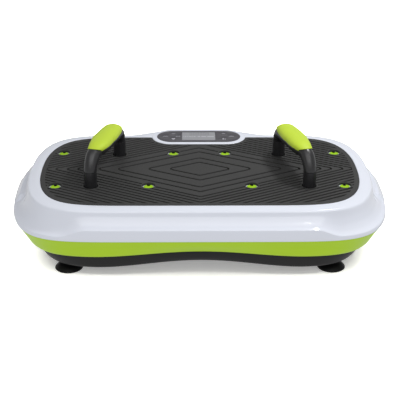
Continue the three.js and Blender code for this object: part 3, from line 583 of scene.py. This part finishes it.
def groove_distance(points, half_length, half_depth):
    """Distance to the middle line of a diamond groove with rounded corners."""
    tip, top = half_length - GROOVE_CORNER, half_depth - GROOVE_CORNER
    whole = math.hypot(tip, top)
    x, y = np.abs(points[:, 0]), np.abs(points[:, 1])
    side = (top * x + tip * y - tip * top) / whole
    along = (-tip * (x - tip) + top * y) / whole
    past_top = np.where(along > whole, np.hypot(x, y - top), side)
    distance = np.where(along < 0, np.hypot(x - tip, y), past_top)
    return np.abs(distance - GROOVE_CORNER)


def groove_loop(half_length, half_depth, offset):
    tip, top = half_length - GROOVE_CORNER, half_depth - GROOVE_CORNER
    radius = GROOVE_CORNER + offset
    lean = math.atan2(tip, top)  # direction square to the first side, from +X
    turns = [(tip, 0, -lean, lean, 10), (0, top, lean, math.pi - lean, 4),
             (-tip, 0, math.pi - lean, math.pi + lean, 10),
             (0, -top, math.pi + lean, 2 * math.pi - lean, 4)]
    points = []
    for x, y, first, last, steps in turns:
        for k in range(steps + 1):
            angle = mix(first, last, k / steps)
            points.append((x + radius * math.cos(angle), y + radius * math.sin(angle)))
    return np.array(points)


def distance_to_loop(points, loop):
    a, edge = loop, np.roll(loop, -1, axis=0) - loop
    length = (edge**2).sum(1)
    best = np.full(len(points), 1e9)
    for i in range(len(loop)):
        t = np.clip(((points - a[i]) @ edge[i]) / length[i], 0, 1)
        best = np.minimum(best, np.hypot(*(points - a[i] - t[:, None] * edge[i]).T))
    return best


def ramp_inside(points, loop, width):
    """0 outside a loop, rising to 1 at width inside it."""
    share_in = np.clip(distance_to_loop(points, loop) / width, 0, 1)
    return np.where(inside_loop(points, loop), share_in, 0)


def ramp_outside(points, loop, width):
    """1 inside a loop, falling to 0 at width outside it."""
    share_out = np.clip(distance_to_loop(points, loop) / width, 0, 1)
    return np.where(inside_loop(points, loop), 1, 1 - share_out)


def rubber_mat():
    coarse = unit_outline(160)

    def outer(inset):
        return coarse * (MAT_HALF_LENGTH - inset, MAT_HALF_WIDTH - inset)

    def notch(inset):
        return stadium(-inset, radius=CONSOLE_RADIUS + 0.6, steps=24)

    def round_hole(x, y, radius):
        return lambda inset: circle(x, y, radius + inset, 36)

    screw = [(x, y, SCREW_HOLE_RADIUS) for x, y in SCREW_PLACES.values()]
    post = [(x, y, POST_HOLE_RADIUS) for x, y in POST_PLACES.values()]
    ramp = GROOVE_TOP - GROOVE_FLOOR
    border, border_low = outer(MARGIN), outer(MARGIN + ramp)
    console = stadium(-7.5, steps=16)
    console_low = stadium(-7.5 - ramp, steps=16)
    rings = [(x, y, r + 2.6) for x, y, r in screw + post]

    def height(points):
        grooved = np.zeros(len(points))
        for half_length, half_depth in GROOVES:
            away = groove_distance(points, half_length, half_depth)
            grooved = np.maximum(grooved, np.clip((GROOVE_TOP - away) / ramp, 0, 1))
        clear = ramp_inside(points, border, ramp)
        clear = np.minimum(clear, 1 - ramp_outside(points, console, ramp))
        for x, y, r in rings:
            away = np.hypot(points[:, 0] - x, points[:, 1] - y)
            clear = np.minimum(clear, np.clip((away - r) / ramp, 0, 1))
        return MAT_TOP - GROOVE_DEPTH * np.minimum(grooved, clear)

    lines = [border, border_low, console, console_low]
    lines += [circle(x, y, r, 24) for x, y, r in rings]
    lines += [circle(x, y, r + ramp, 24) for x, y, r in rings]
    for half_length, half_depth in GROOVES:
        for offset in (-GROOVE_TOP, -GROOVE_FLOOR, GROOVE_FLOOR, GROOVE_TOP):
            lines.append(groove_loop(half_length, half_depth, offset))

    # The console's bay opens the rear edge, so the outline and the bay make one loop.
    def outline(inset):
        edge, bay = outer(inset), notch(inset)
        edge = edge[~inside_loop(edge, bay)]
        bay = bay[inside_loop(bay, outer(inset))]
        order = np.argsort(-bay[:, 0])
        bay = bay[order]
        first = np.argmax(np.hypot(*(np.roll(edge, -1, axis=0) - edge).T))
        edge = np.roll(edge, -(first + 1), axis=0)
        bay = bay[::-1] if np.hypot(*(edge[-1] - bay[0])) > np.hypot(*(edge[-1] - bay[-1])) else bay
        return np.concatenate([edge, bay])

    holes = [round_hole(x, y, r) for x, y, r in screw + post]
    rim = outline(0)
    chamfer = 0.7
    parts = [wall([(rim, MAT_BOTTOM), (rim, MAT_TOP - chamfer)])]
    upper_rim = rim + inward(rim) * chamfer
    parts.append(wall([(rim, MAT_TOP - chamfer), (upper_rim, MAT_TOP)]))
    for hole in holes:
        parts.append(wall([(hole(0), MAT_BOTTOM), (hole(0), MAT_TOP - 0.8),
                           (hole(0.25), MAT_TOP - 0.25), (hole(0.8), MAT_TOP)]))
    parts.append(cap(upper_rim, [hole(0.8) for hole in holes], lines, height))
    parts.append(cap(rim, [hole(0) for hole in holes], (), MAT_BOTTOM))
    points, faces = merged(*parts)
    return make_piece("ribbed_mat", points, faces, MAT, "platform", "mat_rubber", ["rubber_mat"], sharp=25)


def inward(loop):
    """Unit vectors square to a counter-clockwise loop, pointing inside it."""
    along = np.roll(loop, -1, axis=0) - np.roll(loop, 1, axis=0)
    area = (loop[:, 0] * np.roll(loop[:, 1], -1) - np.roll(loop[:, 0], -1) * loop[:, 1]).sum()
    normal = np.stack([-along[:, 1], along[:, 0]], -1) * np.sign(area)
    return normal / np.linalg.norm(normal, axis=1, keepdims=True)


rubber_mat()

# ---------- lime band and base pan ----------


def lower_edge(low, rise, lift):
    return lambda x, y: low + rise * arch(x) + lift


def accent_band():
    keys = [
        (ring(344.6, 193.6, lower_edge(BAND_BOTTOM, BAND_RISE, 0)), 0.8),
        (ring(346.6, 195.4, lower_edge(BAND_BOTTOM, BAND_RISE, 0)), 0.6),
        (ring(350, 198.6, lower_edge(BAND_BOTTOM, BAND_RISE, 4)), 1.2),
        (ring(362.5, 210, 80), 10),
        (ring(370.8, 218.4, 94.6), 0.8),
        (ring(370.6, 218.2, LIP_BOTTOM - 0.3), 0.3),
        (ring(367.4, 215.4, LIP_BOTTOM - 0.3), 0.3),
        (ring(367.4, 215.4, 100), 0.5),
        (ring(364, 212, 100), 0.5),
        (ring(356, 204.5, 80), 4),
        (ring(343, 192, lower_edge(BAND_BOTTOM, BAND_RISE, 0.4)), 0.6),
    ]
    path = rounded([k for k, _ in keys], [r for _, r in keys], steps=4, closed=True)
    points, faces = loft(list(path), closed=True)
    return make_piece("lime_band", points, faces, LIME, "platform", "lime_band", ["accent_band"])


accent_band()


def base_pan():
    def floor(lift):
        return lower_edge(PAN_BOTTOM, PAN_RISE, lift)

    keys = [
        (ring(224, 130, floor(0)), 0),
        (ring(316, 182, floor(0)), 3),
        (ring(321, 186, floor(3)), 6),
        (ring(340, 190, 50), 10),
        (ring(340, 190, PAN_TOP), 0.8),
        (ring(337, 187, PAN_TOP), 0.8),
        (ring(337, 187, 50), 8),
        (ring(316, 182, floor(4.5)), 3),
        (ring(224, 130, floor(3)), 0),
    ]
    path = list(rounded([k for k, _ in keys], [r for _, r in keys], steps=4))
    centre = [ring(f * 224, f * 130, floor(0)) for f in (0.02, 0.35, 0.7)]
    inner = [ring(f * 224, f * 130, floor(3)) for f in (0.7, 0.35, 0.02)]
    points, faces = loft(centre + path + inner)
    pan = make_piece("base_tray", points, faces, PAN, "base", "pan_black", ["base_pan"])
    panel_box = rounded_box(INLET_X - 22, SWITCH_X + 18, 26, 46.6, 3)
    panel = loft([np.column_stack([panel_box[:, 0], np.full(len(panel_box), y), panel_box[:, 1]])
                  for y in (180, 190.4, 191)])
    boolean(pan, *panel, operation="UNION")
    cuts = [loft(turned([(4.6, 10), (4.6, 40)], x, y, 24)) for x, y in FOOT_PLACES.values()]
    for x, half_x, half_z in ((INLET_X, 13.8, 8.8), (SWITCH_X, 10.3, 7)):
        box = rounded_box(x - half_x, x + half_x, SERVICE_Z - half_z, SERVICE_Z + half_z, 1.2)
        cuts.append(loft([np.column_stack([box[:, 0], np.full(len(box), y), box[:, 1]]) for y in (164, 200)]))
    for side in (-1, 1):
        for k in range(VENTS_A_SIDE):
            x = side * (VENT_FIRST + VENT_STEP * k)
            vent = rounded_box(x - VENT_HALF_WIDTH, x + VENT_HALF_WIDTH,
                               -VENT_HALF_LENGTH, VENT_HALF_LENGTH, 1.5)
            cuts.append(loft([np.column_stack([vent, np.full(len(vent), z)]) for z in (10, 45)]))
    boolean(pan, *merged(*cuts))
    return dress(pan, PAN, "base", ["base_pan"])


base_pan()

# ---------- feet ----------


def feet():
    for spot, (x, y) in FOOT_PLACES.items():
        profile = [
            (0.3, 3.4), (8, 3.0), (16, 2.2), (22, 1.2), (25, 0.2), (26.2, 0.0), (27.1, 0.25), (27.4, 0.9),
            (27.0, 1.9), (24.4, 4.8), (21.2, 7.6), (16.5, 10.0), (13, 11.2), (11.4, 12.2), (10.8, 13.4),
            (11.2, 14.8), (12.6, 16.2), (14.2, 17.2), (15.0, 18.2), (15.0, 21.2), (14.6, 21.7),
            (4.0, 21.7), (4.0, 49.0), (3.2, 50.0), (0.3, 50.0),
        ]
        ring_piece("suction_foot_" + spot, profile, x, y, FOOT, "base", "foot_rubber", ["foot_" + spot],
                   sides=72)


feet()

# ---------- handles ----------

SPAN = math.hypot(HANDLE_FRONT[0] - HANDLE_REAR[0], HANDLE_REAR[1] - HANDLE_FRONT[1])
FALL = math.atan2(TOP_RUN_REAR - TOP_RUN_FRONT, SPAN - FRONT_BEND - REAR_BEND)


def handle_station(u):
    """Place and outward direction on a handle's middle line; u runs 0 to 5 round the front
    bend, to 9 along the top and to 14 round the rear bend."""
    if u <= 5:
        angle = math.pi - (math.pi / 2 - FALL) * u / 5
        at = (FRONT_BEND + FRONT_BEND * math.cos(angle),
              TOP_RUN_FRONT - FRONT_BEND + FRONT_BEND * math.sin(angle))
        return at, (math.cos(angle), math.sin(angle))
    if u <= 9:
        first, _ = handle_station(5)
        t = (u - 5) / 4
        at = (mix(first[0], SPAN - REAR_BEND, t), mix(first[1], TOP_RUN_REAR, t))
        return at, (-math.sin(FALL), math.cos(FALL))
    angle = (math.pi / 2 + FALL) * (1 - (u - 9) / 5)
    at = (SPAN - REAR_BEND + REAR_BEND * math.cos(angle),
          TOP_RUN_REAR - REAR_BEND + REAR_BEND * math.sin(angle))
    return at, (math.cos(angle), math.sin(angle))


def tube_radius(u):
    swell = smoothstep(0.5, GRIP_FIRST, u) * (1 - smoothstep(9, 12.5, u))
    return TUBE_RADIUS + NECK_SWELL * float(swell)


def share(value, first, last):
    return min(max((value - first) / (last - first), 0.0), 1.0)


def front_swell(u):
    return math.sin(math.pi / 2 * share(u, GRIP_FIRST, GRIP_WIDEST)) ** 0.9


def grip_half_width(u):
    if u < GRIP_WIDEST:
        return mix(tube_radius(GRIP_FIRST) + 0.7, GRIP_HALF_WIDTH, front_swell(u))
    rearward = share(u, GRIP_WIDEST, GRIP_LAST)
    return GRIP_HALF_WIDTH * math.sqrt(1 - GRIP_REAR_NARROWING * rearward**2)


def grip_height(u):
    return tube_radius(u) + 0.6 + 4 * math.sin(math.pi * share(u, GRIP_FIRST, GRIP_LAST)) ** 0.9


def carrier(u):
    """Half width, upper and lower reach of the tube, which spreads and flattens under the pad."""
    if u < GRIP_WIDEST:
        swell = front_swell(u)
    else:
        swell = math.cos(math.pi / 2 * share(u, GRIP_WIDEST, 12.5)) ** 0.7
    under = GRIP_FIRST <= u <= GRIP_LAST
    drop = 4.2 * (1 - 0.85 * float(smoothstep(8.5, GRIP_LAST, u))) if under else 0
    radius = tube_radius(u)
    return radius + 7.3 * swell, radius - drop, radius + 1.5 * swell


def lean(u):
    """How far the grip's middle line leans towards the object's middle round the front bend."""
    return float(np.interp(u, LEAN_PLACES, LEAN_SHIFTS))


def handle_section(sign, at, up, section):
    """A section, as (sideways, outward) pairs, set on a handle's path."""
    run = Vector((sign * (HANDLE_REAR[0] - HANDLE_FRONT[0]), HANDLE_REAR[1] - HANDLE_FRONT[1], 0))
    run.normalize()
    across = Vector((-run.y, run.x, 0))
    points = []
    for side, lift in section:
        along = at[0] + up[0] * lift
        points.append((sign * HANDLE_FRONT[0] + run.x * along + across.x * side,
                       HANDLE_FRONT[1] + run.y * along + across.y * side,
                       at[1] + up[1] * lift))
    return np.array(points)


def oval(side, up, down, count=48):
    angles = np.arange(count) * 2 * np.pi / count
    lift = np.sin(angles)
    return np.stack([side * np.cos(angles), np.where(lift > 0, up, down) * lift], -1)


def upright_near_sockets(u):
    """A handle station whose path stands upright where it leaves each socket."""
    (along, height), up = handle_station(u)
    if u < MID_RUN:
        first, upright = (0.0, (-1.0, 0.0))
        pull = 1 - float(smoothstep(TUBE_FIRST, GRIP_FIRST, u))
        start = handle_station(TUBE_FIRST)[0][0]
    else:
        first, upright = (SPAN, (1.0, 0.0))
        pull = float(smoothstep(GRIP_LAST, TUBE_LAST, u))
        start = handle_station(TUBE_LAST)[0][0]
    along += (first - start) * pull
    turned_up = Vector((mix(up[0], upright[0], pull), mix(up[1], upright[1], pull))).normalized()
    return (along, height), tuple(turned_up)


def handle_tube(sign, side_name):
    leg = [(143.2, SPIGOT_RADIUS - 0.5), (144.0, SPIGOT_RADIUS), (SOCKET_TOP + 0.3, SPIGOT_RADIUS),
           (SOCKET_TOP + 0.3, TUBE_RADIUS - 0.4), (SOCKET_TOP + 0.4, TUBE_RADIUS - 0.12),
           (SOCKET_TOP + 0.6, TUBE_RADIUS)]
    rows = [handle_section(sign, (0, z), (-1, 0), oval(r, r, r)) for z, r in leg]
    before = list(np.linspace(TUBE_FIRST, GRIP_FIRST - 0.06, 24))
    under = list(np.linspace(GRIP_FIRST, GRIP_LAST, 72))
    after = list(np.linspace(GRIP_LAST + 0.08, TUBE_LAST, 16))
    for u in before + under + after:
        at, up = upright_near_sockets(u)
        rows.append(handle_section(sign, at, up, oval(*carrier(u)) + (sign * lean(u), 0)))
    rows += [handle_section(sign, (SPAN, z), (1, 0), oval(r, r, r)) for z, r in leg[::-1]]
    points, faces = loft(rows)
    return make_piece("handle_" + side_name + "_bar", points, faces, BLACK, "handle_" + side_name,
                      "black_moulding", ["handle_tube_" + side_name])


def pad_section(u, lean_in, shrink=0.0):
    """Crescent section of the soft pad: domed outside, resting on the flattened tube inside.
    lean_in is how far its middle lies from the tube's."""
    half, high = grip_half_width(u) - shrink, grip_height(u) - shrink
    tube_half, tube_high, _ = carrier(min(max(u, GRIP_FIRST), GRIP_LAST))
    edges = (lean_in - half, lean_in + half)

    def seat(x):
        return tube_high * math.sqrt(max(1 - (x / tube_half) ** 2, 0)) + 0.3

    rests = [min(max(GRIP_LOWER_EDGE, seat(x)) + shrink, high - 0.2) for x in edges]

    def base(x):
        return mix(rests[0], rests[1], share(x, *edges))

    points = []
    for angle in np.linspace(0, math.pi, 41):
        c, s = math.cos(angle), math.sin(angle)
        x = lean_in + half * np.sign(c) * abs(c) ** 0.92
        points.append((x, base(x) + (high - base(x)) * s**0.86))
    for x in np.linspace(edges[0] + 0.35, edges[1] - 0.35, 37):
        points.append((x, max(min(seat(x), high - 0.1), base(x) - 0.25)))
    return points


def handle_pad(sign, side_name):
    first, last = GRIP_FIRST + 0.03, GRIP_LAST - 0.02
    stations = [(first, 0.45), (first + 0.01, 0.2), (first + 0.04, 0.05), (first + 0.09, 0.0)]
    stations += [(u, 0.0) for u in np.linspace(first + 0.15, last - 0.3, 80)]
    stations += [(last - 0.2, 0.0), (last - 0.1, 0.0), (last - 0.04, 0.1), (last, 0.3)]
    rows = []
    for u, shrink in stations:
        lean_in = sign * float(np.interp(u, PAD_LEAN_PLACES, PAD_LEAN_SHIFTS))
        section = pad_section(u, lean_in, shrink)
        row = []
        for k, (side, lift) in enumerate(section):
            crown = math.sin(math.pi * k / 40) if k <= 40 else 0
            tongue = 0.45 * crown * (1 - float(smoothstep(GRIP_FIRST, GRIP_FIRST + 1.6, u)))
            at, up = handle_station(u - tongue)
            row.append(handle_section(sign, at, up, [(side + sign * lean(u), lift)])[0])
        rows.append(np.array(row))
    points, faces = loft(rows)
    return make_piece("soft_grip_" + side_name, points, faces, LIME_PAD, "handle_" + side_name,
                      "lime_grip", ["handle_grip_" + side_name], sharp=50)


for side_name, sign in (("left", -1), ("right", 1)):
    handle_tube(sign, side_name)
    handle_pad(sign, side_name)


def sockets():
    for spot, (x, y) in POST_PLACES.items():
        profile = [
            (9.6, 141.0), (TUBE_RADIUS - 0.3, 141.0), (TUBE_RADIUS, 141.3), (TUBE_RADIUS, 178.9),
            (TUBE_RADIUS, 179.4), (TUBE_RADIUS - 0.1, 179.6), (TUBE_RADIUS - 0.3, SOCKET_TOP),
            (10.2, SOCKET_TOP), (9.7, 179.4), (9.6, 178.8),
        ]
        ring_piece("handle_post_" + spot, profile, x, y, BLACK, "platform", "black_moulding",
                   ["handle_socket_" + spot], closed=True)


sockets()

# ---------- screw caps ----------


def screw_caps():
    """Shallow caps over the deck screws, each with a notch in its rear edge to lift it by."""
    notch = 3.3
    turns = np.linspace(math.pi, 2 * math.pi, 17)
    for spot, (x, y) in SCREW_PLACES.items():
        end = y + 1.5 + notch
        arc = np.stack([x + notch * np.cos(turns), end + notch * np.sin(turns)], -1)
        slot = np.concatenate([arc, [(x + notch, y + 14), (x - notch, y + 14)]])
        profile = [(0.2, MAT_BOTTOM), (CAP_RADIUS - 0.2, MAT_BOTTOM), (CAP_RADIUS, 145.5),
                   (CAP_RADIUS, 146.2), (CAP_RADIUS - 0.2, 146.6), (CAP_RADIUS - 0.8, 146.95),
                   (CAP_RADIUS - 2.4, 147.15), (4.0, 147.27), (0.2, 147.3)]
        name = "lime_cap_" + spot
        obj = ring_piece(name, profile, x, y, LIME_CAP, "platform", sides=64)
        boolean(obj, *loft([np.column_stack([slot, np.full(len(slot), z)]) for z in (140, 150)]))
        dress(obj, LIME_CAP, "platform", ["screw_cap_" + spot])


screw_caps()

# ---------- console ----------


def console():
    def window(d):
        out = 0.3 + d
        return rounded_box(-LCD_X - out, LCD_X + out, LCD_Y[0] - out, LCD_Y[1] + out, 1.2 + d)

    def key_hole(x, y):
        return lambda d: circle(x, y, KEY_RADIUS + 0.12 + d, 32)

    holes = [window] + [key_hole(x, y) for x, y in KEY_PLACES.values()]
    film = plate(lambda d: stadium(d, radius=OVERLAY_RADIUS), holes, 148.3, 150.6, edge=0.25)
    make_piece("console_film", *film, OVERLAY, "platform", "overlay_film", ["console_overlay"], sharp=40)
    for key, (x, y) in KEY_PLACES.items():
        profile = [(0.2, 149.0), (KEY_RADIUS, 149.0), (KEY_RADIUS, 150.4), (KEY_RADIUS - 0.2, 150.55),
                   (KEY_RADIUS - 1.0, 150.62), (0.2, 150.66)]
        ring_piece("console_key_" + key, profile, x, y, OVERLAY, "key_" + key + "_cap", "key_film",
                   ["key_" + key], sides=48)
    glass = plate(lambda d: rounded_box(-LCD_X + d, LCD_X - d, LCD_Y[0] + d, LCD_Y[1] - d, 1.0), [],
                  135, 150.4, edge=0.3)
    make_piece("lcd_window", *glass, LCD, "platform", "lcd_window", ["lcd_module"], sharp=40)


console()


def bars(name, boxes, z, finish, body, slot, thick=0.06):
    parts = [plate(lambda d, b=b: rounded_box(b[0] + d, b[1] - d, b[2] + d, b[3] - d, 0.2, 2), [],
                   z, z + thick, edge=0.02, steps=1) for b in boxes]
    return make_piece(name, *merged(*parts), finish, body, slot)


def lcd_segments():
    dark, light = [], []
    for k in range(6):
        x = -19 + 7.4 * k
        for dx0, dx1, y0, y1 in ((0, 4.4, 196.6, 198), (0, 4.4, 189.6, 190.8), (0, 4.4, 182.6, 183.8),
                                 (-0.4, 0.8, 190.6, 197), (3.6, 4.8, 190.6, 197),
                                 (-0.4, 0.8, 183.6, 189.8), (3.6, 4.8, 183.6, 189.8)):
            dark.append((x + dx0, x + dx1, y0, y1))
    for k in range(8):
        dark.append((-33.5 + 3.3 * k, -31.6 + 3.3 * k, 157.6, 159.4))
    for x0, x1 in ((-33, -31), (-29.5, -26.6), (-25, -22.6), (-20.6, -17.2), (-15.4, -13), (-11, -7),
                   (-2, 3.4), (6, 16.4), (18.6, 33)):
        light.append((x0, x1, 173.4, 176.6))
    bars("lcd_digits", dark, 150.42, SEGMENT, "platform", "lcd_window")
    bars("lcd_marks", light, 150.42, SEGMENT_LIT, "platform", "lcd_window")


lcd_segments()


def key_marks():
    z = 150.62

    def mark(shape, x, y):
        return plate(lambda d: shape * (1 - d / 4) + (x, y), [], z, z + PRINT_THICKNESS, edge=0.02, steps=1)

    for key, (x, y) in KEY_PLACES.items():
        if key == "timer_hold":
            outline = np.array([(-3.6, 2.6), (-2.4, 3.4), (-0.8, 2.6), (0, 1.6), (0.8, 2.6), (2.4, 3.4),
                                (3.6, 2.6), (3.2, 0.2), (0.2, -3.6), (-0.2, -3.6), (-3.2, 0.2)])
            part = [mark(outline, x, y)]
        elif key == "speed_down":
            left = np.array([(-4.4, -3.0), (-1.6, 3.0), (-0.8, 3.0), (0.6, -3.0)])
            right = np.array([(1.2, -3.0), (2.2, 1.0), (3.0, 1.0), (4.6, -3.0)])
            part = [mark(left, x, y), mark(right, x, y)]
        else:
            half = {"power": 5.2, "program": 5.2, "time": 5.0}.get(key, 3.6)
            part = []
            for k in range(5):
                x0 = x - half + k * 2 * half / 5
                part.append(plate(lambda d, x0=x0: rounded_box(x0 + d, x0 + 1.55 * half / 5 - d,
                                                               y - 1.0 + d, y + 1.0 - d, 0.2, 2),
                                  [], z, z + PRINT_THICKNESS, edge=0.02, steps=1))
        make_piece("key_mark_" + key, *merged(*part), PRINT, "key_" + key + "_cap", "key_film")


key_marks()

# ---------- CAD pieces that keep their shape ----------

CAD_FINISHES = {
    "chassis_plate": ZINC, "rocker_frame": PAINTED, "motor_bracket": ZINC,
    "pivot_bracket_front": ZINC, "pivot_bracket_rear": ZINC,
    "shaft_bearing_front": DARK_STEEL, "shaft_bearing_rear": DARK_STEEL, "motor_housing": DARK_STEEL,
    "eccentric_front": BRIGHT, "eccentric_rear": BRIGHT, "link_pin_front": BRIGHT, "link_pin_rear": BRIGHT,
    "pivot_shaft": BRIGHT, "crankshaft": BRIGHT, "motor_shaft": BRIGHT,
    "rocker_link_front": ALUMINIUM, "rocker_link_rear": ALUMINIUM, "driven_pulley": ALUMINIUM,
    "motor_pulley": ALUMINIUM, "drive_belt": BELT, "power_board": BOARD, "console_board": BOARD,
    "power_inlet": BLACK, "switch_housing": BLACK, "power_rocker": BLACK,
    "motor_lead": LEAD_RED, "mains_lead_inner": LEAD_BLACK,
}
for node, finish in CAD_FINISHES.items():
    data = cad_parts[node].data
    data.materials.clear()
    data.materials.append(finish)

# ---------- floor, light and sky ----------


def floor():
    size = 6.0
    count = 24
    places = np.linspace(-size, size, count)
    points = [(x, y, 0) for y in places for x in places]
    mesh = bpy.data.meshes.new("studio_floor")
    mesh.from_pydata(points, [], grid(count, count, closed_columns=False))
    obj = bpy.data.objects.new("studio_floor", mesh)
    SCENE.collection.objects.link(obj)
    obj.location.z = -0.0002
    pale = material("pale_floor", (0.93, 0.93, 0.86), 0.7, vary=0.005, grain=60, bump=0.0, shine=0.1)
    shader = pale.node_tree.nodes["Principled BSDF"]
    shader.inputs["Emission Color"].default_value = (1, 1, 1, 1)
    shader.inputs["Emission Strength"].default_value = 0.3
    obj.data.materials.append(pale)
    obj.visible_diffuse = False
    obj.visible_glossy = False
    obj.visible_shadow = False
    return obj


def area_light(name, place, aim, size, power):
    data = bpy.data.lights.new(name, "AREA")
    data.shape = "RECTANGLE"
    data.size, data.size_y = size
    data.energy = power
    obj = bpy.data.objects.new(name, data)
    obj.location = place
    obj.rotation_euler = (Vector(aim) - Vector(place)).to_track_quat("-Z", "Y").to_euler()
    SCENE.collection.objects.link(obj)
    return obj


def sky(above, below):
    """White to the eye, dimmer as a light: one strength from above and one from the pale ground."""
    world = bpy.data.worlds.new("studio")
    world.use_nodes = True
    tree = world.node_tree
    background = tree.nodes["Background"]
    background.inputs["Color"].default_value = (1, 1, 1, 1)
    place = tree.nodes.new("ShaderNodeTexCoord")
    split = tree.nodes.new("ShaderNodeSeparateXYZ")
    slope = tree.nodes.new("ShaderNodeMapRange")
    slope.inputs["From Min"].default_value = -0.15
    slope.inputs["From Max"].default_value = 0.25
    slope.inputs["To Min"].default_value = below
    slope.inputs["To Max"].default_value = above
    path = tree.nodes.new("ShaderNodeLightPath")
    level = tree.nodes.new("ShaderNodeMapRange")
    level.inputs["To Max"].default_value = 1.0
    link(tree, place, "Generated", split, "Vector")
    link(tree, split, "Z", slope, "Value")
    link(tree, path, "Is Camera Ray", level, "Value")
    link(tree, slope, "Result", level, "To Min")
    link(tree, level, "Result", background, "Strength")
    SCENE.world = world


ground = floor()
sky(0.4, 0.7)
area_light("key_softbox", (0.5, 0.15, 1.15), (0, 0, 0.15), (0.16, 0.16), 5.8)
area_light("front_spot", (0.55, -1.25, 1.9), (0, 0, 0.15), (0.05, 0.05), 0.8)
area_light("front_softbox", (0, -1.6, 2.0), (0, 0, 0.1), (3.0, 2.0), 25)
wash = area_light("floor_wash", (0, 0, 3.2), (0, 0, 0), (5, 5), 600)
washed = bpy.data.collections.new("washed_by_floor_light")
washed.objects.link(ground)
wash.light_linking.receiver_collection = washed
SCENE.view_settings.view_transform = "Standard"
